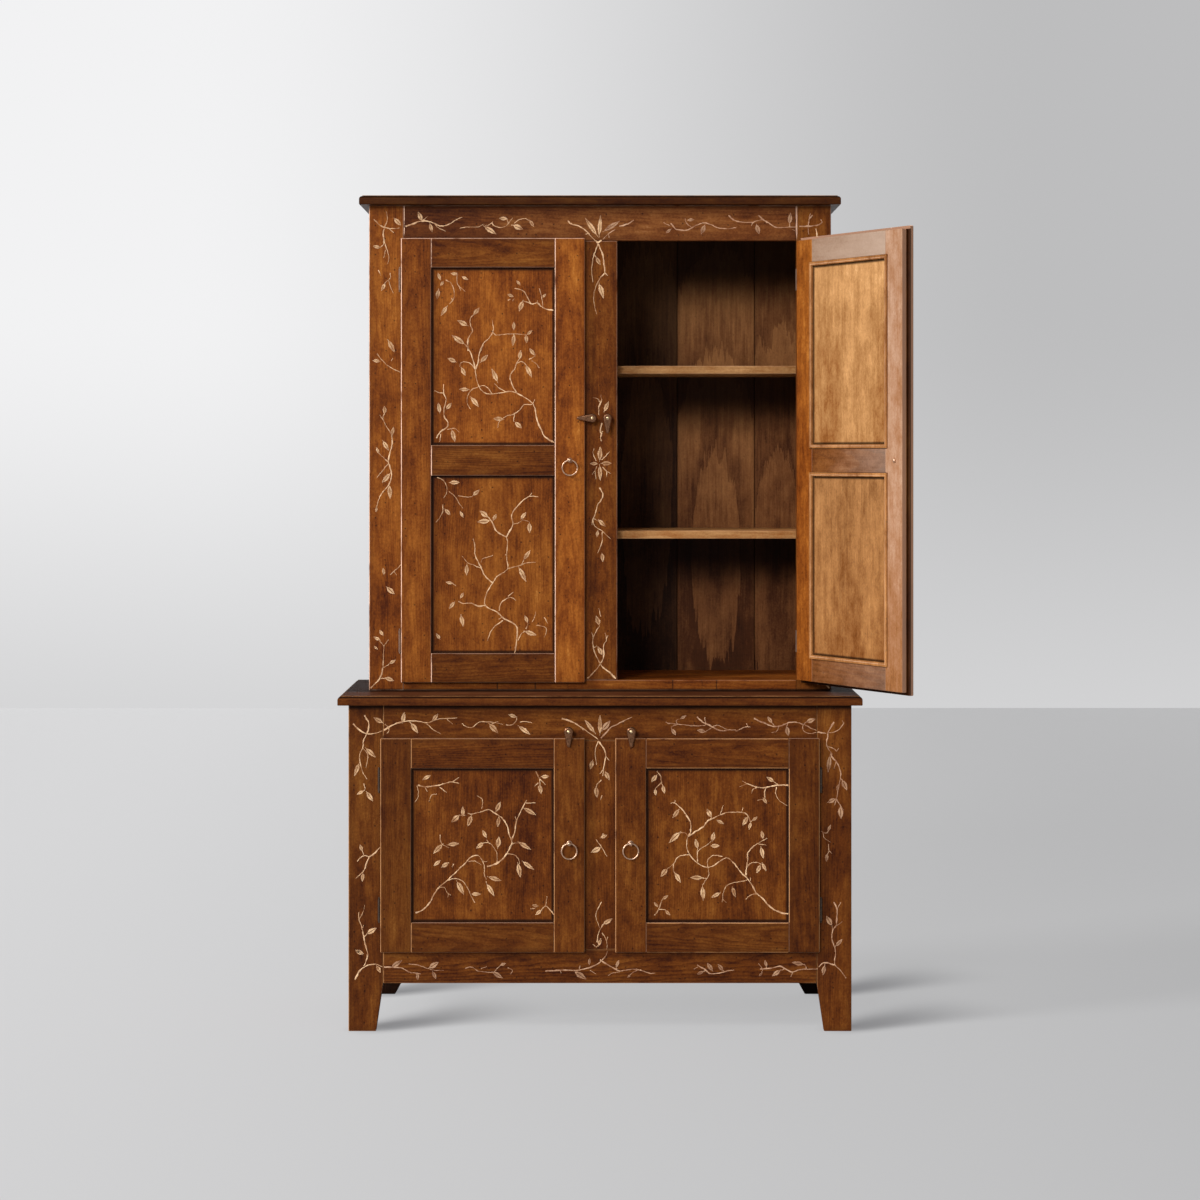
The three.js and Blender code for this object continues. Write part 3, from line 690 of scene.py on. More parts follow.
def moulded_board(node):
    low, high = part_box(node)
    shoulder = high.z - thumbnail_step
    shape = block(low, (high.x, high.y, shoulder))
    near_edge = 1e-6

    def on_outline(point):
        in_from_end = (high.x - low.x) / 2 - abs(point.x - case_middle)
        return point.y < low.y + near_edge or abs(in_from_end) < near_edge

    def at(level):
        found = edges_on(shape, lambda point: abs(point.z - level) < near_edge and on_outline(point))
        return [edge for edge in found if min(vert.co.y for vert in edge.verts) < high.y - near_edge]

    round_edges(shape, at(shoulder), thumbnail_radius)
    round_edges(shape, at(low.z), under_radius)
    top_face = max(shape.faces, key=lambda face: (face.calc_center_median().z, face.calc_area()))
    push(shape, [top_face], (0, 0, thumbnail_step))
    return shape


def lay_moulded(node, tint, **looks):
    low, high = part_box(node)
    # The top face takes the dark ramp as painted shade, and the arris wear and highlight runs along the ledge
    # of the thumbnail.
    finish = wood(
        node + "_wood", low, high, 0, wear=0.4, tint=tint, back_share=0.75, back_stops=top_shade, rub=worn_highlight_tan,
        ledge=thumbnail_radius, **looks
    )
    place(node + "_board", moulded_board(node), "carcase", "stained_wood", finish, [node], 0.0005)


# A painted contact shadow darkens the waist top just in front of the upper case.
lay_moulded("waist_board", 0.47, dullness=0.6, dusk=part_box("hutch_stile_left")[0].y)

# The upper case stands on the waist board, set back to leave a serving ledge. It has the same
# make: sides, stiles, a frieze rail and one centre stile.
# A dark line at the foot of these boards: the joint and a painted contact shadow.
foot_seam_and_shadow = {"seams": (0.0065, 0.0)}
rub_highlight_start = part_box("hutch_frieze_rail")[0].z
case_board("hutch_stile_left", 2, tint=0.84, wear=0.8, **foot_seam_and_shadow)
case_board("hutch_stile_right", 2, tint=0.54, wear=0.8, rub_above=rub_highlight_start, **foot_seam_and_shadow)
case_board("hutch_centre_stile", 2, tint=0.56)
# The raised blue in this tint is a painted haze of reflected light.
case_board("hutch_frieze_rail", 0, tint=(0.54, 0.59, 1.05), wear=1.2, rub_above=rub_highlight_start + 0.01)
stain_sides("hutch")

# The inside of the upper case: a floor whose front edge shows between the stiles, two shelves
# behind the centre stile, and a boarded back.
floor_low, floor_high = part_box("hutch_floor")
tongue_half = 0.5097
tongue_depth = 0.0213
floor_outline = [
    (case_middle - tongue_half, floor_low.y, floor_low.z),
    (case_middle + tongue_half, floor_low.y, floor_low.z),
    (case_middle + tongue_half, floor_low.y + tongue_depth, floor_low.z),
    (floor_high.x, floor_low.y + tongue_depth, floor_low.z),
    (floor_high.x, floor_high.y, floor_low.z),
    (floor_low.x, floor_high.y, floor_low.z),
    (floor_low.x, floor_low.y + tongue_depth, floor_low.z),
    (case_middle - tongue_half, floor_low.y + tongue_depth, floor_low.z),
]
floor_shape = slab(floor_outline, (0, 0, floor_high.z - floor_low.z))
case_board("hutch_floor", 0, "interior_wood", shape=floor_shape, tint=0.76, **shelf_looks, **foot_seam_and_shadow)
case_board("hutch_shelf_lower", 0, "interior_wood", stops=pale, tint=1.05, **shelf_looks)
case_board("hutch_shelf_upper", 0, "interior_wood", stops=pale, tint=0.82, **shelf_looks)
ceilings = [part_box(node) for node in ("hutch_frieze_rail", "hutch_shelf_upper", "hutch_shelf_lower")]
# Painted shadow bands fall below the frieze rail and each shelf, and the board just right of the centre stile
# is tinted dark as painted shade.
back_boards(
    "hutch_back", feet=False, tints=[0.5, 0.55, 0.5, 0.25, 0.86, 0.86],
    under=[(low.z, high.z) for low, high in ceilings], fall=0.4
)

# The cornice: a second moulded board, with the same thumbnail edge, closes the top of the
# upper case and stands out over its front and sides.
lay_moulded("cornice_board", 0.25, dullness=0.4)

# The doors. Each is a mortised frame of stiles and rails whose edge laps over the case, with
# one or two flat panels let in from behind and held by mitred beads. A door is drawn as a
# left-hand one about its hinge pin, and the right-hand ones are the same turned over.
lip_edge = 0.0038
lip_width = 0.008
lip_front = -0.0104
lip_back = 0.0016
lip_radius = 0.003
frame_back = 0.0196
panel_seat = -0.0004
panel_front = -0.0001
panel_back = 0.0159
panel_margin = 0.009
bead_width = 0.01
bead_height = 0.007
bead_radius = 0.0035
bead_soft = 0.0006
stile_width = 0.078
rail_width = 0.076
mid_rail_width = 0.079
door_gap = 0.0003
left_axis = {"upper": (-0.5198, 0.1464), "lower": (-0.5618, -0.0036)}
open_angle = math.radians(120)
cell = 1e-5


def cut_across(shape, point, normal):
    """Cuts a shape along a plane and keeps both sides."""
    everything = shape.verts[:] + shape.edges[:] + shape.faces[:]
    bmesh.ops.bisect_plane(shape, geom=everything, dist=cell / 10, plane_co=point, plane_no=normal)


def extruded_back(shape, level_of):
    """Steps a board's back face out to each level, one after another."""
    reached = panel_seat
    for level in (lip_back, frame_back):
        raised = []
        for face in shape.faces:
            centre = face.calc_center_median()
            if abs(centre.y - reached) < cell and face.normal.y > 0.9 and level_of(centre) >= level - cell:
                raised.append(face)
        push(shape, raised, (0, level - reached, 0))
        outward(shape)
        reached = level


def arc(radius, steps, start, end, rise=0.0, out=0.0):
    """Points of a profile round a corner, from one angle to another."""
    angles = [math.radians(start + (end - start) * step / steps) for step in range(steps + 1)]
    return [(out + radius * math.cos(angle), rise + radius * math.sin(angle)) for angle in angles]


def join_rings(shape, rings):
    """Skins each ring of corners to the next."""
    for near, far in zip(rings, rings[1:]):
        for count in range(len(near)):
            shape.faces.new((near[count - 1], near[count], far[count], far[count - 1]))


def bead_frame(left, right, bottom, top_edge, back):
    """A bead run round a rectangle, with its four corners mitred."""
    curve = arc(bead_radius, 5, 90, 0, rise=bead_height - bead_radius, out=bead_width - bead_radius)
    profile = [(0, 0), (0, bead_height - bead_soft), (bead_soft, bead_height), *curve, (bead_width, 0)]
    shape = bmesh.new()
    rings = []
    for inset, height in profile:
        corners = [
            (left + inset, bottom + inset), (left + inset, top_edge - inset),
            (right - inset, top_edge - inset), (right - inset, bottom + inset),
        ]
        rings.append([shape.verts.new((x, back + height, z)) for x, z in corners])
    join_rings(shape, rings + rings[:1])
    return outward(shape)


class Door:
    """The sizes of one door, about its hinge pin and as a left-hand one."""

    def __init__(self, row, side):
        self.name = f"{row}_{side}"
        self.row = row
        hand = 1 if side == "left" else -1
        shut_low, shut_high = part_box(f"{row}_left_door_frame")
        axis_x, axis_y = left_axis[row]
        origin = Vector((case_middle + hand * axis_x, case_front + axis_y, 0))
        opened = open_angle if self.name == "upper_right" else 0
        self.home = (origin, -hand * opened, hand)
        self.low = shut_low.z
        self.high = shut_high.z
        self.right = lip_edge + shut_high.x - shut_low.x
        self.left_window = lip_edge + stile_width
        self.right_window = self.right - stile_width
        count = 2 if row == "upper" else 1
        opening = self.high - self.low - 2 * rail_width - (count - 1) * mid_rail_width
        tall = opening / count
        starts = [self.low + rail_width + step * (tall + mid_rail_width) for step in range(count)]
        self.windows = [(start, start + tall) for start in starts]
        post_low, post_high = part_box(self.name + "_pull_post")
        self.pull_level = (post_low.z + post_high.z) / 2

    def fit(self, name, shape, finish, stands_for=(), slot="stained_wood", body="_door", **more):
        """Places a piece, drawn about the hinge pin, on the door or on its ring."""
        place(name, shape, self.name + body, slot, finish, stands_for, home=self.home, **more)

    def from_edge(self, point):
        """How far inside the door's outline a point lies."""
        beside = min(point.x - lip_edge, self.right - point.x)
        return min(beside, point.z - self.low, self.high - point.z)

    def level_at(self, point):
        if self.from_edge(point) < lip_width:
            return lip_back
        beside = self.left_window - panel_margin < point.x < self.right_window + panel_margin
        for low, high in self.windows:
            if beside and low - panel_margin < point.z < high + panel_margin:
                return panel_seat
        return frame_back

    def member(self, name, left, right, low, high, grain, stands_for=(), **looks):
        """One stile or rail, cut from the door's stepped outline."""
        shape = block((left, lip_front, low), (right, panel_seat, high))
        cuts_x = [lip_edge + lip_width, self.right - lip_width]
        cuts_x += [self.left_window - panel_margin, self.right_window + panel_margin]
        cuts_z = [self.low + lip_width, self.high - lip_width]
        for window_low, window_high in self.windows:
            cuts_z += [window_low - panel_margin, window_high + panel_margin]
        for x in cuts_x:
            if left + cell < x < right - cell:
                cut_across(shape, (x, 0, 0), (1, 0, 0))
        for z in cuts_z:
            if low + cell < z < high - cell:
                cut_across(shape, (0, 0, z), (0, 0, 1))
        extruded_back(shape, self.level_at)
        bmesh.ops.dissolve_limit(shape, angle_limit=math.radians(1), verts=shape.verts, edges=shape.edges)

        def on_rim(edge):
            middle = (edge.verts[0].co + edge.verts[1].co) / 2
            return self.from_edge(middle) < cell and abs(middle.y - lip_front) < cell

        rims = [edge for edge in shape.edges if on_rim(edge)]
        if rims:
            round_edges(shape, rims, lip_radius, 4)
        # The arris highlight is weak on the arrises away from the light, and half strength along the door's
        # top edge.
        finish = wood(
            f"{self.name}_{name}_wood", (left, lip_front, low), (right, frame_back, high), grain,
            home=self.home, weak=0.08, top_highlight=0.5 if high == self.high else 0.0, **looks
        )
        self.fit(f"{self.name}_{name}", shape, finish, stands_for)

    def make_frame(self):
        solid = [self.name + "_door_frame"]
        hinge_tint, lock_tint = (0.8, 0.95) if self.row == "upper" else (0.4, 0.48)
        # Upper doors take the near-white arris wear and highlight and lower doors the tan one, held to fewer
        # arrises on the far lower door.
        rub_highlight = {"wear": 1.0, "rub": worn_highlight_tone}
        if self.row == "lower":
            rub_highlight = {"wear": 0.5, "rub": worn_highlight_tan}
        far = self.name == "lower_right"
        # Stiles and rails alike take painted shade in the step behind the lip.
        stiles = {"glaze": 0.25, "grime": 0.85, **rub_highlight}
        # The inner faces of the stiles take a painted sheen graded along the stile, palest on the lock stile.
        self.member(
            "hinge_stile", lip_edge, self.left_window, self.low, self.high, 2, solid, tint=hinge_tint,
            back_share=0.42, back_stops=stain, back_fall=0.5,
            rub_span=self.windows[0] if far else None, **stiles
        )
        self.member(
            "lock_stile", self.right_window, self.right, self.low, self.high, 2, solid, tint=lock_tint,
            back_share=0.85, back_stops=sheen_pale, back_fall=0.3, **stiles
        )
        bounds = [self.low] + [level for window in self.windows for level in window] + [self.high]
        rails = {"bottom_rail": 0.47, "mid_rail": 0.49, "top_rail": 0.55}
        if self.row == "lower":
            rails = {"bottom_rail": 0.4, "top_rail": 0.46}
        # Painted sheen on the inner faces of the rails: its share, how far it grows along the rail, and its
        # ramp.
        rail_backs = {
            "bottom_rail": (0.25, 0.5, sheen_pale),
            "mid_rail": (0.3, 1.0, sheen_pale),
            "top_rail": (0.92, 0.4, sheen_grey),
        }
        for (name, tint), low, high in zip(rails.items(), bounds[0::2], bounds[1::2]):
            share, fall, stops = rail_backs[name]
            self.member(
                name, self.left_window, self.right_window, low, high, 0, solid, glaze=0.35, figure=0.6,
                grime=0.85, back_share=share, back_stops=stops, back_fall=fall, tint=tint, joined=far,
                **rub_highlight
            )

    def make_panels(self):
        nodes = ["panel_bottom", "panel_top"] if len(self.windows) == 2 else ["door_panel"]
        lower_tint = 0.52 if self.name == "lower_right" else 0.56
        panel_tints = {"panel_bottom": 0.73, "panel_top": 0.9, "door_panel": lower_tint}
        reach = panel_margin - door_gap
        for node, (low, high) in zip(nodes, self.windows):
            name = f"{self.name}_{node}"
            corner_low = (self.left_window - reach, panel_front, low - reach)
            corner_high = (self.right_window + reach, panel_back, high + reach)
            # The inner face takes a painted sheen, strongest on the top panel, and the outline painted shade
            # along the frame and bead.
            finish = wood(
                name + "_wood", corner_low, corner_high, 2, home=self.home, wear=0.2, glaze=0.55,
                back_share=0.93 if node == "panel_top" else 0.55, back_fall=0.2, tint=panel_tints[node],
                rim=0.0182,
            )
            self.fit(name + "_board", block(corner_low, corner_high), finish, [name])
            left, _, bottom = corner_low
            right, back, top_edge = corner_high
            # The bead takes a paler ramp as a painted sheen, with the wear and highlight along its crest.
            bead_finish = wood(
                name + "_bead_wood", corner_low, corner_high, 2, home=self.home, tint=0.9, wear=0.3,
                glaze=0.0, back_share=0.5, ledge=0.006,
            )
            bead = bead_frame(left, right, bottom, top_edge, back)
            self.fit(name + "_bead", bead, bead_finish, rounding=0)


doors = [Door(row, side) for row in ("upper", "lower") for side in ("left", "right")]
for door in doors:
    door.make_frame()
    door.make_panels()

# The hinges: small iron butts whose leaves wrap the corner behind the lip, so that only the
# knuckles and the ball tips of the pin show beside each door.
hinge_half = 0.028
hinge_inset = 0.107
frame_face = 0.0036
jamb = 0.0098
barrel_radius = 0.0033
leaf_thickness = 0.0014
leaf_reach = 0.014
leaf_setback = 0.002
knuckle_half = (2 * hinge_half - 2 * door_gap) / 6
leaf_proud = 0.0001
tab_start = 0.0012
knuckle_soft = 0.0004
tip_neck = 0.0015
tip_ball = 0.0026
tip_rise = 0.0021
tip_root = 0.001
cloud_scale = 180.0


def metal(name, dull, bright, rough, polish, bare=1.0):
    """Old metal: dull in the hollows and brighter where hands have rubbed it."""
    finish = Finish(name)
    spot = finish.spot()
    cloud = finish.noise(spot, cloud_scale, 4, 0.6)
    speckle = finish.noise(spot, cloud_scale * 7, 2, 0.6)
    ridge = finish.value("NewGeometry", output="Pointiness").rise(0.48, 0.56)
    share = (cloud - 0.5) * 1.3 + (speckle - 0.5) * 0.5 + ridge * 0.4 + polish
    bump = {"Strength": 0.25, "Distance": 0.0002, "Height": cloud * 0.6 + speckle * 0.4}
    finish.shader(
        base_color=finish.mix(share.rise(0.1, 0.9), dull, bright),
        metallic=bare,
        roughness=rough + (0.5 - cloud) * 0.25,
        normal=finish.value("Bump", None, bump),
    )
    return finish.owner


# One iron in two copies: a lighter one on the upper doors and a darker one on the lower doors.
hinge_irons = {
    "upper": metal("hinge_iron_worn", tone(44, 30, 24), tone(128, 98, 80), rough=0.42, polish=0.35, bare=0.4),
    "lower": metal("hinge_iron_dull", tone(22, 16, 12), tone(66, 49, 37), rough=0.48, polish=0.3, bare=0.35),
}


def shift(shape, step):
    bmesh.ops.translate(shape, verts=shape.verts, vec=step)


def tilt(shape, axis, degrees=90):
    bmesh.ops.rotate(shape, verts=shape.verts, matrix=Matrix.Rotation(math.radians(degrees), 3, axis))


def spun(shape, profile, steps, tilted=None):
    """Spins a profile right round the upright axis and then tilts the result over."""
    bmesh.ops.spin(
        shape, geom=profile, cent=(0, 0, 0), axis=(0, 0, 1), angle=math.tau, steps=steps, use_merge=True
    )
    bmesh.ops.remove_doubles(shape, verts=shape.verts, dist=1e-6)
    if tilted:
        tilt(shape, tilted)
    return outward(shape)


def turned(profile, steps=32, tilted=None):
    """A round piece from its profile of radius and height."""
    shape = bmesh.new()
    line = [shape.verts.new((radius, 0, height)) for radius, height in profile]
    edges = [shape.edges.new(pair) for pair in zip(line, line[1:])]
    return spun(shape, line + edges, steps, tilted)


def leaf(front, side, reach, tabs):
    """A hinge leaf: a plate behind the lip, bent back round the corner, with its knuckle tabs."""
    back = front + leaf_thickness
    outline = [
        (frame_face, front), (side + leaf_thickness, front), (side + leaf_thickness, reach),
        (side, reach), (side, back), (frame_face, back),
    ]
    shape = slab([(x, y, -hinge_half) for x, y in outline], (0, 0, 2 * hinge_half))
    for low, high in tabs:
        merge_in(shape, block((tab_start, front, low), (frame_face, back, high)))
    return shape


def merge_in(shape, extra):
    """Adds one shape to another."""
    holder = bpy.data.meshes.new("holder")
    extra.to_mesh(holder)
    extra.free()
    shape.from_mesh(holder)
    bpy.data.meshes.remove(holder)


def knuckle(low, high):
    inner = barrel_radius - knuckle_soft
    return turned([
        (0, low), (inner, low), (barrel_radius, low + knuckle_soft),
        (barrel_radius, high - knuckle_soft), (inner, high), (0, high),
    ], 24)


def pin_tip():
    neck = hinge_half + door_gap
    ball = arc(tip_ball, 6, -55, 90, rise=neck + tip_rise)
    return turned([(0, neck - tip_root), (tip_neck, neck - tip_root), *ball], 24)


for door in doors:
    for place_name, level in (("top", door.high - hinge_inset), ("bottom", door.low + hinge_inset)):
        stem = f"{door.name}_hinge_{place_name}"
        shoulder = knuckle_half + door_gap
        fixed = leaf(
            frame_face - door_gap - leaf_thickness, jamb + door_gap, frame_face + leaf_reach,
            [(-hinge_half, -shoulder), (shoulder, hinge_half)],
        )
        merge_in(fixed, knuckle(shoulder, hinge_half))
        merge_in(fixed, knuckle(-hinge_half, -shoulder))
        for degrees in (0, 180):
            tip = pin_tip()
            tilt(tip, "X", degrees)
            merge_in(fixed, tip)
        moving = leaf(
            lip_back - leaf_thickness + leaf_proud, lip_edge + lip_width - leaf_proud,
            frame_face + leaf_reach - leaf_setback, [(-knuckle_half, knuckle_half)],
        )
        merge_in(moving, knuckle(-knuckle_half, knuckle_half))
        closed_home = (door.home[0], 0.0, door.home[2])
        iron = hinge_irons[door.row]
        for shape in (fixed, moving):
            shift(shape, (0, 0, level))
        place(
            stem + "_frame_plate", fixed, "carcase", "hinge_iron", iron, [stem + "_frame_leaf"],
            rounding=0, home=closed_home,
        )
        door.fit(stem + "_door_plate", moving, iron, [stem + "_door_leaf"], "hinge_iron", rounding=0)

# The pulls: a turned brass post with a ball drilled through, and a plain ring hanging in it.
# A nut holds the post behind the stile.
ball_radius = 0.0058
ball_standoff = 0.01
eye_radius = 0.0032
neck_radius = 0.0028
flange_radius = 0.0066
ring_radius = 0.0196
wire_radius = 0.0019
ring_drop = 0.01916
pull_brass = metal("pull_brass_worn", tone(84, 56, 40), tone(208, 172, 144), rough=0.4, polish=0.45)

for door in doors:
    foot = Vector((door.right - stile_width / 2, lip_front, door.pull_level))
    stem_back = frame_back - lip_front
    post = turned([
        (0, -stem_back - 0.0045), (0.0028, -stem_back - 0.0042), (0.0045, -stem_back - 0.0028),
        (0.0047, -stem_back - 0.0002), (0.0022, -stem_back - 0.0002), (0.0022, 0),
        (flange_radius, 0), (flange_radius, 0.0008), (flange_radius - 0.0006, 0.0014),
        (0.0046, 0.0018), (0.0034, 0.0026), (neck_radius, 0.0036), (neck_radius, ball_standoff - 0.0046),
        (0, ball_standoff - 0.0046),
    ], 32, "X")
    shift(post, foot)
    door.fit(door.name + "_pull_stem", post, pull_brass, [door.name + "_pull_post"], "pull_brass", rounding=0)
    half_eye = math.sqrt(ball_radius**2 - eye_radius**2)
    rim_angle = math.degrees(math.atan2(half_eye, eye_radius))
    shell = arc(ball_radius, 12, -rim_angle, rim_angle)
    bore = [(eye_radius - 0.0003, half_eye * 0.5), (eye_radius - 0.0003, -half_eye * 0.5)]
    ball = turned([*shell, *bore, shell[0]], 32, "Y")
    shift(ball, foot + Vector((0, -ball_standoff, 0)))
    door.fit(door.name + "_pull_ball", ball, pull_brass, (), "pull_brass", rounding=0)
    ring = bmesh.new()
    bmesh.ops.create_circle(
        ring, cap_ends=False, segments=16, radius=wire_radius,
        matrix=Matrix.Translation((ring_radius, 0, 0)) @ Matrix.Rotation(math.radians(90), 4, "X"),
    )
    spun(ring, ring.verts[:] + ring.edges[:], 72, "X")
    shift(ring, foot + Vector((0, -ball_standoff, -ring_drop)))
    door.fit(
        door.name + "_pull_loop", ring, pull_brass, [door.name + "_pull_ring"], "pull_brass", "_ring",
        rounding=0,
    )

# The turn buttons: cast teardrops on a short post, held by one slotted screw, that swing over
# the edge of a shut door.
button_head = 0.0115
button_tip = 0.0045
button_reach = 0.04
button_thickness = 0.008
button_round = 0.0036
button_back = -0.0146
screw_radius = 0.0042
slot_half = 0.0005
slot_depth = 0.0008
button_bronze = metal("button_bronze_worn", tone(58, 36, 24), tone(136, 96, 70), rough=0.38, polish=0.4)
screw_steel = metal("screw_worn", tone(104, 80, 56), tone(232, 204, 160), rough=0.32, polish=0.6)


def teardrop():
    drop = button_reach - button_tip
    slant = math.degrees(math.asin((button_head - button_tip) / drop))
    head = arc(button_head, 26, -slant, 180 + slant)
    return head + arc(button_tip, 12, 180 + slant, 360 - slant, rise=-drop)


def turn_button(name, node):
    solid_low, solid_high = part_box(node)
    solid_mid = (solid_low + solid_high) / 2
    frame_front = solid_high.y
    sideways = solid_high.x - solid_low.x > solid_high.z - solid_low.z
    pivot = Vector((
        solid_high.x - button_head if sideways else solid_mid.x,
        frame_front,
        solid_mid.z if sideways else solid_high.z - button_head,
    ))
    front = button_back - button_thickness
    body = slab([(x, button_back, z) for x, z in teardrop()], (0, -button_thickness, 0))
    for level, radius, segments in ((front, button_round, 5), (button_back, 0.0008, 2)):
        round_edges(body, edges_on(body, lambda point: abs(point.y - level) < cell), radius, segments)
    post = turned([
        (0, 0), (0.0072, 0), (0.0072, 0.0012), (0.0056, 0.0026), (0.005, 0.0075), (0.0058, 0.0125),
        (0.0064, -button_back), (0, -button_back),
    ], 28, "X")
    screw = turned([(0, -0.002), (screw_radius, -0.002), *arc(screw_radius, 6, 0, 90)], 28)
    bmesh.ops.scale(screw, verts=screw.verts, vec=(1, 1, 0.5))
    for side in (-slot_half, slot_half):
        cut_across(screw, (0, side, 0), (0, 1, 0))
    centres = {face: face.calc_center_median() for face in screw.faces}
    strip = [face for face, centre in centres.items() if abs(centre.y) < slot_half and centre.z > 0.0001]
    push(screw, strip, (0, 0, -slot_depth))
    tilt(screw, "X")
    shift(outward(screw), (0, front, 0))
    for suffix, shape, finish, stands_for in (
        ("", body, button_bronze, [node]),
        ("_post", post, button_bronze, ()),
        ("_screw", screw, screw_steel, ()),
    ):
        tilt(shape, "Y", 90 if sideways else 0)
        shift(shape, pivot)
        place(name + suffix, shape, name, "button_bronze", finish, stands_for, rounding=0)


for door in doors:
    turn_button(door.name + "_button", door.name + "_turn_button")

# The painted vines. Thin branches with small pointed leaves climb the panels, stiles and rails
# in worn cream paint. Each spray was drawn over an enlarged part of the photograph, so its
# points are in that sketch's own pixels, across and down in turn.
paint_height = 0.0004
paint_depth = 0.0002
brush = [(-1, paint_depth), (-0.55, -paint_height), (0.55, -paint_height), (1, paint_depth)]
curve_steps = 4
branch_width = (0.0039, 0.0018)
twig_width = (0.0023, 0.0012)
vein_width = (0.0014, 0.0009)
blade_half_most = 0.0055
brush_shake = 0.0006
brush_press = (0.55, 1.45)
blade_sides = [(0.1, 0.09), (0.28, 0.19), (0.48, 0.21), (0.68, 0.15), (0.86, 0.06)]
blade_half_share = max(half for _, half in blade_sides)
blade_press = (0.8, 1.1)
blade_bow = 0.08
vein_half_share = 0.03
vein_shares = (0.75, 0.45, 0.15)
stalk_shares = (0.15, 0.12)
horizon_row = picture_width / 2 - horizon_rise
brush_hand = random.Random(7)


class Sketch:
    """An enlarged part of the photograph, laid on one upright face of the cupboard."""

    def __init__(self, left, top, scale, face, home=(Vector((0, 0, 0)), 0, 1)):
        self.left = left
        self.top = top
        self.scale = scale
        self.face = face
        self.origin, _, self.hand = home

    def points(self, numbers):
        metres = (self.face - camera.location.y) / focal_pixels
        found = []
        for across, down in zip(numbers[0::2], numbers[1::2]):
            x = case_middle + (self.left + across / self.scale - picture_width / 2) * metres
            z = eye_height + (horizon_row - self.top - down / self.scale) * metres
            found.append(Vector((self.hand * (x - self.origin.x), self.face - self.origin.y, z)))
        return found


def soft_line(points):
    """A smooth curve through every point."""
    ends = [points[0] * 2 - points[1], *points, points[-1] * 2 - points[-2]]
    line = []
    for before, start, end, after in zip(ends, ends[1:], ends[2:], ends[3:]):
        handles = start + (end - before) / 6, end - (after - start) / 6
        line += interpolate_bezier(start, *handles, end, curve_steps + 1)[:-1]
    return line + [points[-1]]


def stroke(shape, points, thick, thin):
    """One line of paint, a little proud of the board and thinner towards its end."""
    line = soft_line(points)
    rows = []
    for count, middle in enumerate(line):
        ahead = line[min(count + 1, len(line) - 1)] - line[max(count - 1, 0)]
        side = ahead.cross(Vector((0, 1, 0))).normalized()
        width = thick + (thin - thick) * count / (len(line) - 1)
        half = width / 2 * brush_hand.uniform(*brush_press)
        middle = middle + side * brush_hand.uniform(-brush_shake, brush_shake)
        bristles = [middle + side * half * across + Vector((0, out, 0)) for across, out in brush]
        rows.append([shape.verts.new(point) for point in bristles])
    join_rings(shape, rows)
    shape.faces.new(rows[0])
    shape.faces.new(rows[-1][::-1])


def blade(lines, fills, base, tip):
    """A pointed leaf: a pale outline round two halves, with bare wood between them for a vein."""
    along = tip - base
    slim = min(1, blade_half_most / (blade_half_share * along.length))
    side = along.cross(Vector((0, 1, 0))) * slim * brush_hand.uniform(*blade_press)
    bow = brush_hand.uniform(-blade_bow, blade_bow)
    point = tip + side * bow
    sunk = Vector((0, paint_depth, 0))
    for sign in (1, -1):
        rim = [base + along * share + side * (sign * half + bow * share) for share, half in blade_sides]
        vein_half = sign * vein_half_share
        vein = [base + along * share + side * (vein_half + bow * share) for share in vein_shares]
        outline = [base, *rim, point, *vein]
        face = fills.faces.new([fills.verts.new(corner + sunk) for corner in outline])
        push(fills, [face], (0, -paint_depth - paint_height / 2, 0))
        stroke(lines, [base, *rim, point], *vein_width)
    before, after = stalk_shares
    stroke(lines, [base - along * before, base + along * after], *vein_width)


def worn_paint(name, faded, fresh):
    finish = Finish(name)
    spot = finish.spot()
    broad, fine = finish.noise(spot, 55.0, 3, 0.6), finish.noise(spot, 700.0, 2, 0.6)
    share = (broad - 0.5) * 2.2 + (fine - 0.5) * 0.8 + 0.55
    finish.shader(
        base_color=finish.mix(share.rise(0.0, 1.0), faded, fresh), roughness=0.55, specular_IOR_level=0.2
    )
    return finish.owner


bright_paints = [
    worn_paint("line_paint", tone(154, 104, 66), tone(238, 198, 154)),
    worn_paint("leaf_paint", tone(148, 102, 64), tone(222, 182, 138)),
]
faint_paints = [
    worn_paint("line_paint_faint", tone(134, 88, 60), tone(202, 160, 126)),
    worn_paint("leaf_paint_faint", tone(118, 78, 54), tone(184, 144, 110)),
]
faint_boards = (
    "hutch_stile_right_top", "hutch_frieze_rail_right", "base_stile_right", "base_top_rail_right",
    "base_bottom_rail_left", "base_bottom_rail_right",
)


def paint(name, body, sprays, home=None):
    """Paints every spray of one board."""
    lines, fills = bmesh.new(), bmesh.new()
    paints = faint_paints if name in faint_boards else bright_paints
    for sketch, branches, twigs, leaves in sprays:
        for numbers in branches:
            stroke(lines, sketch.points(numbers), *branch_width)
        for numbers in twigs:
            stroke(lines, sketch.points(numbers), *twig_width)
        for numbers in leaves:
            blade(lines, fills, *sketch.points(numbers))
    for part, shape, finish in zip(("vine", "leaves"), (lines, fills), paints):
        if shape.faces:
            place(f"{name}_{part}", outward(shape), body, "stained_wood", finish, rounding=0, home=home)


other_half = (Vector((2 * case_middle, 0, 0)), 0, -1)
doors_by_name = {door.name: door for door in doors}


def panel_sketch(door_name, left, top, scale):
    home = doors_by_name[door_name].home
    return Sketch(left, top, scale, home[0].y + panel_front, home)


def board_sketch(node, left, top, scale):
    return Sketch(left, top, scale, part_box(node)[0].y)


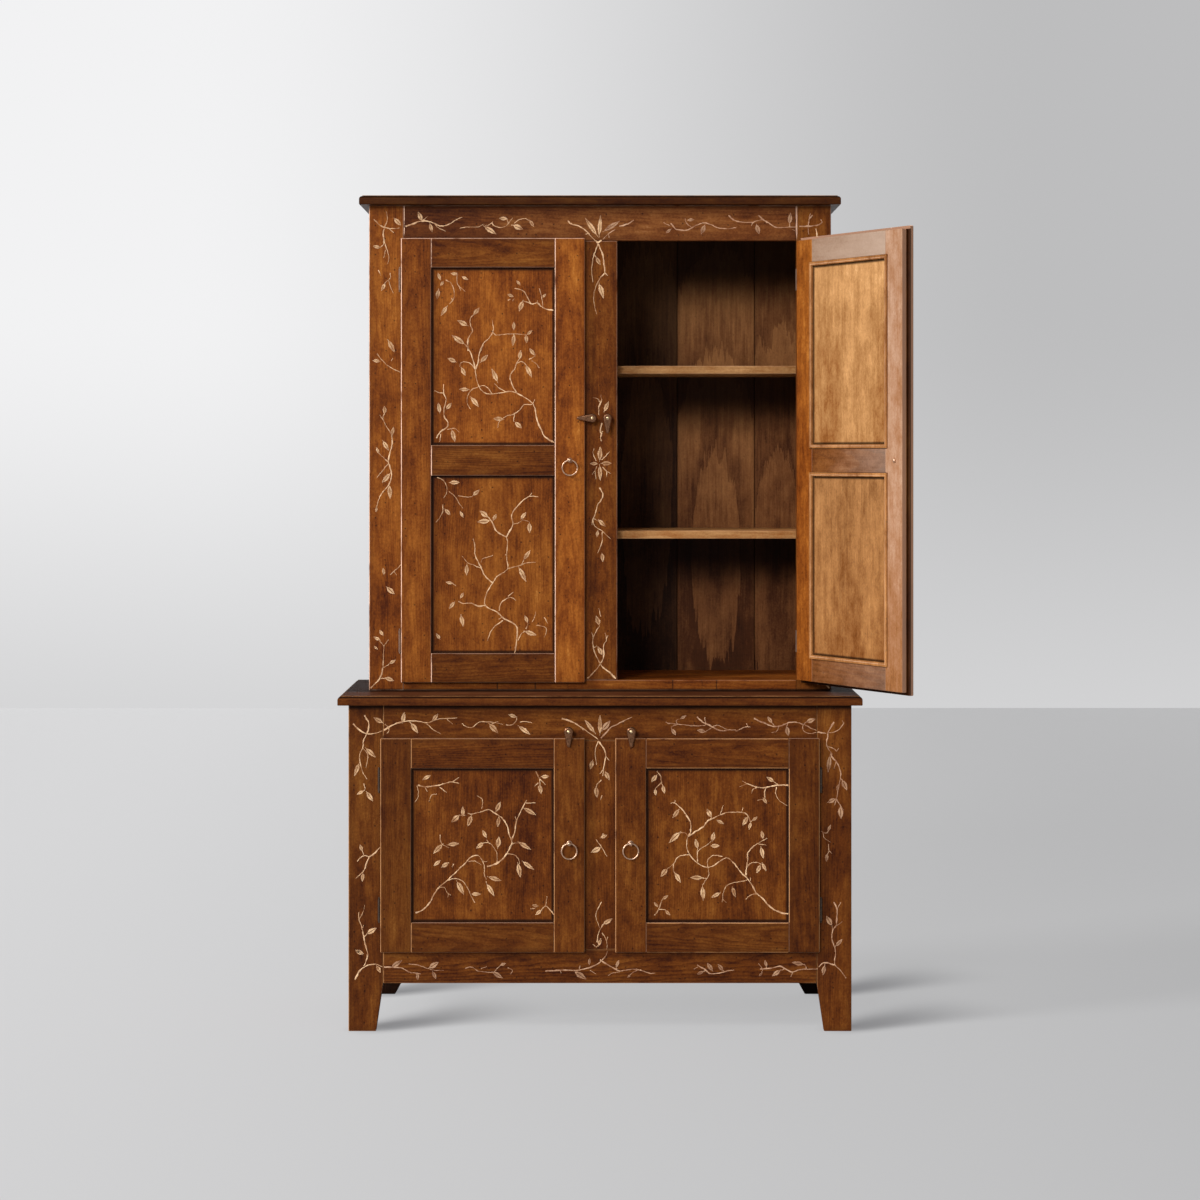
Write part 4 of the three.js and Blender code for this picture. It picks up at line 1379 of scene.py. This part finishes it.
upper_top_sprays = [
    (panel_sketch("upper_left", 400, 235, 8.25), [
        [1265, 622, 1200, 610, 1160, 585, 1130, 560, 1085, 570, 1060, 530, 1030, 475, 1000, 452, 945,
         440], [565, 955, 560, 870, 575, 830, 600, 790, 580, 740, 580, 690, 610, 655],
        [665, 955, 690, 890, 735, 850, 765, 800, 770, 765, 760, 700],
    ], [
        [375, 372, 420, 395, 445, 460, 445, 520, 408, 570], [470, 310, 470, 390, 490, 425, 540, 465],
        [485, 420, 502, 460], [425, 520, 432, 545], [1080, 570, 1050, 552, 1010, 545],
        [1180, 590, 1170, 520, 1150, 440], [1130, 562, 1136, 540], [890, 540, 912, 528],
        [928, 546, 942, 524], [560, 930, 542, 912, 525, 895],
        [765, 800, 790, 825, 860, 820, 930, 815, 1040, 825], [930, 815, 945, 830],
    ], [
        [385, 592, 340, 668], [318, 455, 304, 530], [315, 320, 336, 372], [357, 385, 335, 420],
        [472, 325, 420, 312], [515, 346, 562, 366], [1012, 548, 985, 630], [1180, 512, 1200, 486],
        [966, 380, 990, 414], [932, 508, 888, 488], [610, 655, 652, 598], [555, 745, 473, 708],
        [527, 897, 430, 828], [938, 776, 936, 714], [942, 826, 934, 916], [1050, 820, 1092, 784],
        [1040, 826, 1050, 892],
    ]),
    (panel_sketch("upper_left", 400, 345, 8.25), [
        [1270, 805, 1200, 760, 1165, 700, 1130, 620, 1120, 560, 1100, 490, 1040, 440, 980, 405, 920, 383,
         860, 390, 760, 405, 700, 395, 655, 350, 630, 270, 620, 205],
        [622, 200, 605, 130, 570, 40, 540, -5], [624, 200, 645, 140, 655, 70, 690, -5],
        [960, 390, 930, 340, 910, 280, 915, 235, 945, 200, 960, 155, 988, 112],
        [300, 768, 330, 720, 385, 680, 395, 640, 365, 590, 365, 520, 380, 450, 360, 390, 360, 325],
    ], [
        [1096, 484, 1112, 448],
        [760, 402, 720, 350, 685, 335, 650, 345, 590, 370, 560, 420, 555, 480, 580, 530],
        [614, 192, 590, 160, 540, 138, 500, 150, 494, 180], [960, 155, 1000, 135, 1040, 160],
        [1062, 120, 1110, 95, 1122, 68], [1085, 130, 1120, 150, 1150, 190],
        [870, 385, 820, 355, 780, 320],
        [1090, 490, 1020, 495, 990, 535, 930, 575, 890, 580, 840, 615, 815, 640, 806, 682],
        [945, 570, 936, 632], [285, 375, 320, 392, 360, 395], [390, 695, 450, 688, 490, 720],
        [336, 735, 326, 802],
    ], [
        [588, 434, 647, 510], [566, 368, 488, 366], [458, 138, 393, 108], [508, 190, 540, 252],
        [668, 137, 728, 84], [986, 112, 996, 44], [1042, 172, 1082, 268], [1106, 78, 1072, 28],
        [802, 298, 760, 196], [848, 613, 770, 612], [952, 640, 1000, 690], [328, 556, 314, 476],
        [384, 527, 424, 478], [428, 706, 458, 798],
    ]),
]
upper_low_sprays = [
    (panel_sketch("upper_left", 400, 475, 8.25), [
        [945, 1470, 958, 1400, 965, 1260, 900, 1205, 850, 1180, 800, 1130, 705, 1078, 710, 985, 765, 890,
         800, 840, 860, 800, 890, 765, 880, 680, 888, 560, 878, 510],
        [878, 512, 800, 465, 765, 400, 740, 360, 715, 335],
        [880, 510, 930, 410, 920, 330, 985, 240, 1060, 180, 1140, 178],
        [765, 890, 700, 830, 668, 760, 620, 660, 620, 600, 605, 525],
        [705, 1078, 640, 1080, 590, 1058, 520, 1060, 480, 1040],
    ], [
        [305, 20, 360, 45, 385, 100, 385, 150, 360, 190], [350, 245, 355, 290, 330, 350, 295, 390],
        [405, 135, 455, 180, 485, 230, 520, 275], [480, 172, 540, 180, 590, 180, 610, 160],
        [1060, 180, 1090, 150], [930, 405, 980, 395, 1010, 370, 1060, 385],
        [668, 770, 600, 740, 560, 725, 512, 668], [668, 720, 685, 690, 720, 680, 768, 662],
        [868, 655, 882, 670], [890, 770, 980, 750, 1040, 725, 1120, 720], [1000, 745, 1025, 700],
        [820, 1120, 830, 1060, 870, 1025, 920, 1010, 955, 1035], [890, 1000, 935, 965],
        [850, 1200, 780, 1250, 740, 1310, 722, 1370], [815, 1190, 850, 1170],
        [975, 1365, 1000, 1310, 1035, 1290], [1040, 1270, 1060, 1225],
        [1088, 1212, 1112, 1170, 1118, 1130], [1125, 1240, 1180, 1250, 1210, 1275, 1190, 1340],
        [1190, 1175, 1220, 1225], [430, 890, 462, 916],
    ], [
        [374, 284, 416, 332], [605, 166, 653, 118], [414, 62, 490, 58], [498, 304, 524, 350],
        [722, 346, 658, 296], [736, 378, 638, 388], [770, 372, 790, 322], [1000, 360, 1036, 306],
        [1066, 400, 1068, 476], [552, 744, 544, 826], [1024, 694, 1074, 622], [984, 768, 1040, 882],
        [446, 1052, 404, 1102], [500, 1012, 522, 970], [432, 893, 378, 886], [504, 1162, 516, 1250],
        [1033, 1290, 1126, 1316], [1052, 1214, 1034, 1158], [328, 1352, 300, 1306],
    ]),
]
lower_left_sprays = [
    (panel_sketch("lower_left", 410, 755, 8.96), [
        [50, 1415, 110, 1390, 175, 1325, 210, 1260, 255, 1190, 330, 1125, 390, 1070, 450, 1010, 490, 975,
         545, 915, 610, 900, 650, 950, 668, 1010, 665, 1070, 685, 1115],
        [690, 1000, 760, 980, 820, 940, 870, 880, 910, 800, 910, 770, 885, 700, 870, 630, 820, 560, 760,
         520, 710, 490, 650, 505, 590, 520, 545, 530, 520, 520],
        [912, 765, 940, 680, 955, 590, 1000, 490, 1045, 405],
        [1290, 1430, 1250, 1380, 1215, 1355, 1178, 1386],
        [70, 270, 130, 285, 190, 280, 260, 270, 330, 250, 380, 240, 440, 255],
    ], [
        [330, 1130, 380, 1110, 440, 1112, 490, 1150, 520, 1200, 545, 1260, 582, 1322],
        [255, 1185, 310, 1190, 335, 1235, 365, 1256], [345, 1240, 340, 1275],
        [525, 955, 580, 950, 640, 985], [630, 925, 655, 950, 692, 955],
        [642, 480, 650, 440, 645, 395, 602, 365], [495, 540, 440, 540], [955, 590, 943, 553],
        [1040, 430, 1125, 428], [890, 830, 925, 795, 985, 785], [875, 885, 940, 895, 975, 940, 982, 975],
        [780, 965, 778, 880, 745, 820, 700, 785, 650, 790], [700, 785, 690, 758], [683, 1130, 690, 1168],
        [270, 715, 275, 775, 300, 805, 350, 832], [392, 975, 378, 1006],
        [65, 275, 75, 330, 70, 380, 42, 422], [130, 285, 155, 326], [240, 350, 195, 360, 170, 415],
        [265, 290, 300, 315, 330, 337], [380, 240, 440, 200],
        [1128, 148, 1160, 215, 1165, 260, 1170, 320], [1165, 215, 1212, 268], [1150, 248, 1118, 282],
        [1215, 1355, 1222, 1310, 1228, 1265], [1120, 1375, 1078, 1378],
    ], [
        [556, 1246, 634, 1250], [424, 1138, 480, 1252], [550, 546, 513, 638], [798, 558, 785, 644],
        [772, 502, 810, 422], [436, 544, 376, 608], [474, 540, 478, 462], [1024, 478, 1132, 532],
        [976, 782, 1082, 852], [968, 978, 996, 1094], [1016, 958, 1106, 1032], [656, 788, 592, 832],
        [786, 826, 798, 732], [682, 736, 648, 674], [708, 1094, 818, 1130], [693, 1162, 750, 1266],
        [286, 804, 210, 884], [344, 804, 438, 794], [268, 948, 214, 992], [288, 1002, 348, 964],
        [118, 218, 186, 184], [1160, 268, 1174, 350], [1180, 196, 1248, 194], [1174, 1392, 1128, 1434],
        [1146, 1354, 1094, 1348],
    ]),
]
lower_right_sprays = [
    (panel_sketch("lower_right", 640, 755, 8.96), [
        [1328, 1424, 1270, 1415, 1200, 1385, 1140, 1335, 1090, 1275, 1040, 1235, 1000, 1160, 960, 1105,
         900, 1045, 850, 980, 790, 925, 740, 935, 690, 970, 640, 1000, 580, 1003, 520, 970, 460, 915, 425,
         850, 418, 780, 430, 730],
        [430, 730, 500, 685, 570, 640, 605, 590, 650, 570, 710, 540, 790, 515, 870, 512, 940, 520, 975,
         560, 990, 600], [440, 722, 455, 670, 450, 600, 410, 530, 370, 480, 310, 430, 275, 430],
        [950, 1080, 955, 1010, 965, 930, 965, 880, 1010, 825, 1060, 790, 1140, 745],
        [1330, 270, 1240, 270, 1170, 280, 1110, 292, 1050, 288, 970, 260, 918, 234],
    ], [
        [310, 430, 316, 404], [430, 740, 415, 705, 370, 695, 330, 708],
        [440, 895, 400, 895, 340, 915, 300, 975, 240, 1025], [300, 975, 300, 1040, 320, 1075],
        [515, 955, 515, 880, 530, 850, 590, 810, 645, 770], [512, 890, 516, 832],
        [740, 910, 690, 900, 640, 905, 605, 950, 608, 1010, 618, 1070, 590, 1120, 560, 1165],
        [600, 1105, 555, 1105], [640, 580, 640, 550], [720, 530, 730, 500, 745, 450],
        [908, 512, 926, 470], [990, 600, 1012, 582], [1060, 795, 1130, 805],
        [960, 1000, 1000, 965, 1060, 965, 1110, 985],
        [960, 1120, 900, 1135, 830, 1145, 770, 1180, 745, 1240, 738, 1320], [745, 1295, 772, 1322],
        [1050, 1245, 990, 1255, 948, 1292], [990, 1128, 988, 1098], [960, 258, 890, 286],
        [1050, 290, 1010, 310, 998, 346], [1130, 292, 1115, 340, 1115, 390, 1050, 406],
        [1225, 285, 1215, 340, 1240, 400, 1320, 456], [1240, 265, 1200, 240],
        [150, 145, 185, 190, 190, 240, 215, 300], [185, 250, 140, 300, 138, 318],
        [130, 1435, 165, 1390, 185, 1330, 202, 1290], [165, 1385, 230, 1385],
    ], [
        [354, 696, 260, 784], [346, 492, 290, 562], [242, 1022, 188, 1090], [314, 1058, 364, 1142],
        [516, 832, 498, 752], [650, 768, 656, 692], [638, 814, 712, 814], [560, 1184, 572, 1304],
        [556, 1100, 452, 1100], [636, 552, 602, 482], [694, 588, 748, 618], [966, 556, 918, 632],
        [990, 608, 978, 668], [1010, 586, 1048, 552], [1102, 746, 1088, 678], [1084, 830, 1112, 924],
        [1098, 974, 1132, 1038], [1076, 990, 1052, 1058], [712, 1238, 638, 1272], [828, 1188, 858, 1272],
        [1106, 386, 1138, 432], [1196, 236, 1138, 194], [204, 280, 224, 342], [148, 184, 106, 244],
        [138, 308, 138, 362], [204, 1290, 252, 1258], [158, 1356, 126, 1320], [228, 1394, 270, 1434],
    ]),
]
hutch_stile_sprays = [
    (board_sketch("hutch_stile_left", 355, 195, 6.4), [
        [120, 155, 150, 185, 190, 208, 240, 215, 285, 212],
        [186, 215, 180, 250, 190, 300, 205, 350, 216, 400, 208, 442],
    ], [
        [190, 206, 208, 160, 200, 105], [215, 214, 250, 242], [180, 270, 185, 310, 160, 336],
        [196, 350, 184, 402], [225, 500, 226, 530, 195, 560, 182, 596], [215, 540, 225, 580, 244, 628],
        [150, 480, 166, 516], [290, 1135, 230, 1105, 180, 1065, 140, 1015], [242, 1044, 230, 1062],
        [190, 1395, 180, 1440, 225, 1520, 236, 1560], [180, 1440, 158, 1408],
    ], [
        [254, 153, 292, 196], [160, 336, 114, 330], [192, 566, 172, 614], [214, 934, 256, 1008],
        [158, 1064, 114, 1058], [190, 1398, 190, 1350], [236, 1536, 248, 1486],
    ]),
    (board_sketch("hutch_stile_left", 355, 435, 6.149), [
        [226, 0, 230, 50, 215, 110, 205, 160, 220, 215, 225, 255, 205, 310, 165, 360, 145, 400, 130, 455],
        [96, 1556, 150, 1500, 170, 1440, 175, 1370, 180, 1300, 206, 1258],
    ], [
        [202, 166, 165, 130, 145, 108], [205, 175, 165, 225, 134, 264], [290, 790, 250, 830, 214, 862],
        [240, 838, 256, 862], [170, 1432, 200, 1415, 216, 1405], [154, 1500, 190, 1495],
        [180, 1302, 152, 1268],
    ], [
        [174, 40, 208, 96], [146, 112, 132, 76], [213, 240, 164, 292], [212, 314, 213, 392],
        [133, 446, 128, 474], [178, 856, 174, 818], [198, 938, 240, 982], [214, 1405, 248, 1383],
        [190, 1494, 238, 1510], [152, 1260, 114, 1243], [172, 1230, 152, 1200], [138, 1316, 118, 1300],
    ]),
]
frieze_sprays = [
    (board_sketch("hutch_frieze_rail", 365, 198, 6.533), [
        [265, 185, 310, 170, 350, 155, 400, 150, 440, 160, 480, 180, 520, 182, 560, 165, 600, 140, 635,
         125], [1325, 148, 1345, 168, 1400, 185, 1440, 210, 1480, 255, 1512, 284],
    ], [
        [372, 150, 410, 122], [455, 168, 480, 195, 526, 216], [620, 198, 660, 190, 740, 188, 772, 172],
        [782, 181, 810, 175, 836, 155], [830, 164, 850, 185, 900, 192, 935, 170, 925, 140, 900, 130],
        [936, 170, 964, 130], [955, 178, 975, 178], [975, 165, 1010, 140, 1050, 135, 1086, 156],
        [1440, 236, 1468, 232],
    ], [
        [370, 146, 346, 92], [424, 168, 438, 224], [784, 188, 857, 239], [926, 136, 878, 128],
        [972, 180, 1034, 200], [1078, 148, 1100, 188], [1510, 236, 1440, 130],
    ]),
]
frieze_middle_sprays = [
    (board_sketch("hutch_frieze_rail", 365, 198, 6.533), [], [], [[1530, 240, 1536, 112]]),
]
hutch_centre_sprays = [
    (board_sketch("hutch_centre_stile", 395, 225, 6.817), [
        [1408, 104, 1385, 125, 1370, 170, 1355, 205, 1345, 260, 1340, 310, 1350, 390],
        [1372, 106, 1395, 150, 1415, 200, 1425, 260, 1430, 325, 1400, 360, 1370, 420, 1355, 480, 1360,
         550, 1376, 606],
    ], [
        [1355, 200, 1376, 226], [1430, 325, 1450, 346],
    ], [
        [1372, 222, 1396, 274], [1394, 404, 1426, 498],
    ]),
    (board_sketch("hutch_centre_stile", 560, 395, 16.5), [
        [690, 80, 655, 160, 640, 220, 640, 330], [692, 465, 665, 600, 690, 640, 668, 700, 686, 762],
    ], [
        [655, 110, 620, 62, 540, 44], [690, 82, 672, 0], [684, 604, 712, 598],
        [690, 1070, 760, 1000, 822, 932], [600, 1088, 545, 970, 562, 880],
        [604, 1176, 575, 1250, 526, 1312], [575, 1250, 592, 1392], [700, 1188, 770, 1260, 842, 1296],
        [770, 1260, 774, 1352],
    ], [
        [734, 262, 792, 104], [655, 1070, 655, 852], [608, 1134, 496, 1128], [692, 1130, 850, 1122],
        [655, 1178, 668, 1410],
    ]),
    (board_sketch("hutch_centre_stile", 570, 470, 7.127), [
        [210, 125, 235, 170, 225, 210, 195, 250, 185, 300, 165, 350, 155, 392],
        [124, 1486, 180, 1430, 215, 1380, 240, 1330, 240, 1250, 260, 1210, 250, 1160],
        [326, 1486, 280, 1440, 225, 1395, 190, 1330, 165, 1260, 165, 1200, 185, 1150, 215, 1110],
    ], [
        [165, 345, 205, 365], [165, 360, 175, 400, 230, 435, 290, 492],
        [230, 440, 230, 500, 215, 550, 198, 592], [260, 1202, 271, 1178], [218, 1044, 205, 984],
        [165, 1190, 154, 1158], [165, 1266, 192, 1254],
    ], [
        [206, 358, 254, 402], [198, 434, 190, 478], [228, 598, 236, 652], [208, 1102, 190, 1038],
        [228, 1314, 198, 1258],
    ]),
]
base_stile_sprays = [
    (board_sketch("base_stile_left", 340, 680, 5.6), [
        [72, 245, 110, 280, 150, 300, 200, 298, 238, 284],
        [136, 198, 160, 240, 155, 290, 130, 340, 130, 375, 110, 420, 115, 470, 130, 520, 150, 556],
    ], [
        [130, 380, 155, 420, 150, 470, 145, 492],
    ], [
        [148, 385, 200, 432], [106, 470, 80, 536], [236, 238, 190, 210],
    ]),
    (board_sketch("base_stile_left", 342, 735, 7.127), [
        [270, 800, 235, 840, 200, 865, 165, 860, 130, 875, 108, 902],
        [195, 870, 175, 910, 160, 960, 98, 1022],
        [185, 1568, 165, 1490, 150, 1420, 140, 1370, 120, 1310, 120, 1262],
    ], [
        [155, 345, 165, 385, 150, 402], [155, 855, 145, 820], [125, 1310, 150, 1260, 163, 1210],
        [140, 1386, 156, 1354], [160, 1440, 184, 1412],
    ], [
        [150, 400, 108, 424], [178, 408, 220, 472], [150, 988, 145, 1044], [142, 822, 128, 782],
        [180, 1416, 244, 1373], [142, 1562, 98, 1528],
    ]),
    (board_sketch("base_stile_left", 340, 930, 5.6), [
        [84, 278, 110, 230, 150, 200, 200, 192, 238, 206], [156, 138, 148, 170, 134, 202],
    ], [], [
        [127, 130, 88, 113], [206, 202, 229, 238],
    ]),
]
base_top_sprays = [
    (board_sketch("base_top_rail", 340, 680, 5.6), [
        [246, 282, 300, 250, 370, 230, 440, 232, 490, 240, 520, 228, 560, 218, 656, 213],
        [1242, 216, 1300, 235, 1350, 265, 1400, 300, 1446, 332],
    ], [
        [252, 248, 272, 266, 274, 286, 262, 300], [388, 232, 404, 248], [486, 245, 520, 275, 566, 303],
        [600, 220, 632, 246], [684, 243, 700, 258, 740, 265, 780, 235, 830, 235, 880, 240, 912, 250],
        [850, 246, 886, 232], [930, 252, 965, 250, 988, 225, 985, 204], [1008, 235, 1040, 232, 1074, 240],
        [1350, 264, 1362, 284],
    ], [
        [350, 236, 363, 180], [400, 244, 437, 297], [520, 228, 550, 190], [838, 248, 887, 297],
        [986, 206, 943, 196], [1004, 260, 1062, 307], [1424, 292, 1368, 226],
    ]),
]
base_top_middle_sprays = [(board_sketch("base_top_rail", 340, 680, 5.6), [], [], [[1456, 296, 1456, 198]])]
base_bottom_sprays = [
    (board_sketch("base_bottom_rail", 340, 930, 5.6), [
        [246, 208, 290, 208, 350, 215, 385, 235, 410, 240, 452, 245],
        [1150, 230, 1200, 228, 1260, 225, 1330, 226, 1400, 210, 1450, 185, 1485, 150, 1497, 118],
    ], [
        [385, 190, 440, 198, 490, 215, 530, 225, 582, 226],
        [700, 214, 740, 208, 770, 228, 830, 236, 860, 235, 890, 205, 912, 192], [790, 216, 822, 204],
        [940, 210, 965, 225, 955, 247], [1234, 228, 1238, 242], [1340, 216, 1346, 198],
        [1400, 226, 1432, 246],
    ], [
        [292, 206, 348, 171], [432, 244, 438, 280], [502, 211, 552, 182], [520, 234, 536, 274],
        [900, 196, 928, 186], [858, 237, 912, 266], [1318, 235, 1378, 280], [1396, 192, 1398, 158],
    ]),
]
base_centre_sprays = [
    (board_sketch("base_centre_stile", 572, 735, 7.127), [
        [190, 45, 225, 95, 240, 150, 225, 230, 220, 292], [178, 1478, 190, 1410, 215, 1360, 240, 1332],
    ], [
        [190, 45, 170, 85, 165, 140, 175, 212], [240, 150, 263, 182], [225, 240, 200, 276],
        [210, 320, 180, 350, 172, 380], [216, 430, 200, 462], [170, 744, 205, 790, 250, 867],
        [222, 700, 216, 740], [212, 1190, 180, 1245, 170, 1290, 185, 1345, 196, 1372],
        [215, 1410, 240, 1450, 250, 1500, 246, 1528], [148, 1490, 175, 1510, 200, 1482],
        [256, 1438, 245, 1470],
    ], [
        [146, 184, 130, 244], [238, 264, 269, 318], [172, 374, 172, 444], [202, 804, 134, 834],
        [206, 732, 252, 716], [226, 1346, 288, 1308], [190, 1500, 206, 1448],
    ]),
]
frieze_right_sprays = [
    (board_sketch("hutch_frieze_rail", 595, 195, 7.649), [
        [185, 240, 230, 228, 270, 212, 295, 190],
        [580, 215, 600, 240, 622, 262, 700, 270, 732, 255, 790, 225, 840, 213, 890, 228, 940, 250, 1010,
         258, 1080, 250], [1022, 155, 1060, 190, 1110, 207, 1190, 210, 1230, 200, 1280, 190],
        [1250, 155, 1290, 190, 1340, 220, 1390, 248, 1470, 246, 1548, 244],
    ], [
        [155, 262, 100, 300, 60, 340], [102, 300, 108, 328], [525, 210, 572, 236],
        [690, 180, 700, 215, 735, 245], [1235, 198, 1205, 215, 1198, 238], [1490, 244, 1488, 215],
        [1510, 262, 1542, 280],
    ], [
        [75, 272, 188, 198], [578, 262, 540, 290], [712, 192, 758, 186], [838, 234, 810, 298],
        [1236, 232, 1252, 300], [1488, 215, 1498, 136],
    ]),
]
hutch_stile_right_sprays = [
    (board_sketch("hutch_stile_right", 795, 195, 6.969), [
        [30, 218, 100, 217, 150, 212, 178, 200, 192, 186],
        [122, 140, 100, 165, 96, 190, 90, 220, 96, 275],
    ], [
        [110, 128, 100, 148, 100, 165], [180, 172, 190, 190],
    ], []),
]
base_top_right_sprays = [
    (board_sketch("base_top_rail", 590, 682, 14.25), [
        [157, 800, 225, 730, 290, 650, 370, 610, 470, 560, 540, 525, 600, 500],
    ], [
        [1080, 570, 1120, 590, 1180, 592, 1250, 600, 1350, 610, 1450, 622, 1560, 620],
        [1250, 602, 1190, 622, 1160, 652, 1165, 684], [1245, 598, 1230, 556, 1260, 525],
    ], [
        [180, 680, 288, 556], [1170, 676, 1228, 752], [1295, 522, 1372, 484],
    ]),
    (board_sketch("base_top_rail", 690, 708, 9.8), [
        [70, 85, 120, 135, 160, 155, 225, 185, 265, 210, 330, 224, 375, 215, 440, 215, 455, 224, 500, 205,
         550, 185, 594, 187],
        [630, 100, 680, 130, 740, 150, 800, 178, 870, 181, 930, 160, 975, 142, 1040, 140, 1095, 155, 1140,
         172, 1180, 195, 1238, 220],
    ], [
        [0, 173, 70, 175, 140, 170, 160, 158], [145, 90, 148, 120, 158, 152],
        [225, 182, 262, 170, 300, 178, 330, 195, 365, 212], [225, 187, 185, 210, 148, 232],
        [555, 150, 560, 170, 575, 184], [868, 184, 862, 212, 845, 230, 800, 241], [826, 176, 802, 142],
        [955, 148, 948, 188], [1148, 135, 1115, 160, 1105, 200, 1125, 235, 1180, 250, 1238, 238],
    ], [
        [148, 232, 70, 214], [800, 142, 758, 88], [948, 186, 969, 274], [1145, 136, 1227, 103],
    ]),
]
base_stile_right_sprays = [
    (board_sketch("base_stile_right", 690, 708, 9.8), [
        [1250, 235, 1290, 242, 1334, 250],
        [1412, 138, 1385, 182, 1355, 238, 1348, 290, 1338, 335, 1348, 390, 1395, 455],
    ], [
        [1490, 124, 1504, 150, 1465, 205, 1410, 235, 1362, 242],
    ], []),
    (board_sketch("base_stile_right", 800, 740, 6.533), [
        [200, 88, 212, 116, 235, 140, 258, 180, 266, 240, 252, 310, 240, 382],
        [220, 1060, 243, 1105, 240, 1170, 236, 1212, 214, 1245, 208, 1300, 226, 1355, 233, 1400, 226,
         1462, 262, 1502, 302, 1555], [226, 1470, 180, 1457, 150, 1456, 124, 1484],
    ], [
        [185, 42, 225, 58, 240, 72, 252, 54], [235, 145, 222, 188], [266, 248, 278, 268],
        [262, 285, 245, 300, 240, 326], [240, 382, 228, 388], [240, 386, 225, 426],
        [240, 388, 262, 425, 286, 458], [186, 590, 175, 608, 152, 602, 136, 596],
        [150, 602, 160, 640, 202, 668], [185, 680, 190, 720, 208, 743], [190, 728, 178, 748],
        [266, 1060, 246, 1100], [238, 1213, 277, 1186], [214, 1240, 205, 1206], [222, 1352, 236, 1342],
        [165, 1457, 160, 1480],
    ], [
        [196, 106, 180, 210], [278, 266, 305, 327], [228, 386, 177, 405], [264, 440, 262, 513],
        [184, 592, 198, 554], [178, 747, 168, 793], [205, 1208, 172, 1149], [236, 1344, 273, 1299],
        [160, 1478, 146, 1535],
    ]),
]
base_bottom_right_sprays = [
    (board_sketch("base_bottom_rail", 600, 955, 6.817), [
        [0, 32, 50, 65, 110, 98, 140, 110, 190, 100, 250, 98, 300, 112, 345, 126, 376, 122],
        [660, 68, 720, 102, 755, 128, 830, 120, 880, 106, 914, 102],
        [1090, 96, 1160, 92, 1225, 76, 1265, 96, 1310, 116, 1360, 100, 1420, 97, 1484, 96],
    ], [
        [115, 100, 111, 78], [135, 112, 80, 125, 55, 143], [255, 102, 220, 122, 205, 139],
        [640, 96, 668, 82], [720, 104, 694, 118], [1080, 58, 1105, 90], [1132, 92, 1134, 76],
        [1262, 94, 1224, 107], [1108, 100, 1100, 126], [1318, 112, 1300, 147],
        [1408, 98, 1400, 72, 1382, 62],
    ], [
        [112, 80, 127, 34], [206, 137, 186, 153], [701, 114, 662, 129], [764, 104, 735, 52],
        [838, 104, 801, 66], [1134, 78, 1128, 36], [1225, 106, 1177, 146], [1104, 124, 1085, 144],
        [1383, 63, 1307, 51],
    ]),
]

# The open door hides all but the top of the right stile, so the rest repeats the left one.
stile_sketch, stile_stems, stile_twigs, stile_leaves = hutch_stile_sprays[0]
hidden_stile_sprays = [
    (stile_sketch, stile_stems[1:], stile_twigs[2:], stile_leaves[1:]),
    hutch_stile_sprays[1],
]
panel_sprays = {
    "upper_left_panel_top": upper_top_sprays,
    "upper_left_panel_bottom": upper_low_sprays,
    "upper_right_panel_top": upper_top_sprays,
    "upper_right_panel_bottom": upper_low_sprays,
    "lower_left_door_panel": lower_left_sprays,
    "lower_right_door_panel": lower_right_sprays,
}
for name, sprays in panel_sprays.items():
    door = doors_by_name["_".join(name.split("_")[:2])]
    paint(name, door.name + "_door", sprays, door.home)
board_sprays = {
    "hutch_stile_left": hutch_stile_sprays,
    "hutch_stile_right": hidden_stile_sprays,
    "hutch_stile_right_top": hutch_stile_right_sprays,
    "hutch_frieze_rail_left": frieze_sprays,
    "hutch_frieze_rail_right": frieze_right_sprays,
    "base_stile_left": base_stile_sprays,
    "base_stile_right": base_stile_right_sprays,
    "base_top_rail_left": base_top_sprays,
    "base_top_rail_right": base_top_right_sprays,
    "base_bottom_rail_left": base_bottom_sprays,
    "base_bottom_rail_right": base_bottom_right_sprays,
    "hutch_frieze_rail_middle": frieze_middle_sprays,
    "base_top_rail_middle": base_top_middle_sprays,
    "hutch_centre_stile": hutch_centre_sprays,
    "base_centre_stile": base_centre_sprays,
}
for name, sprays in board_sprays.items():
    paint(name, "carcase", sprays, other_half if name == "hutch_stile_right" else None)
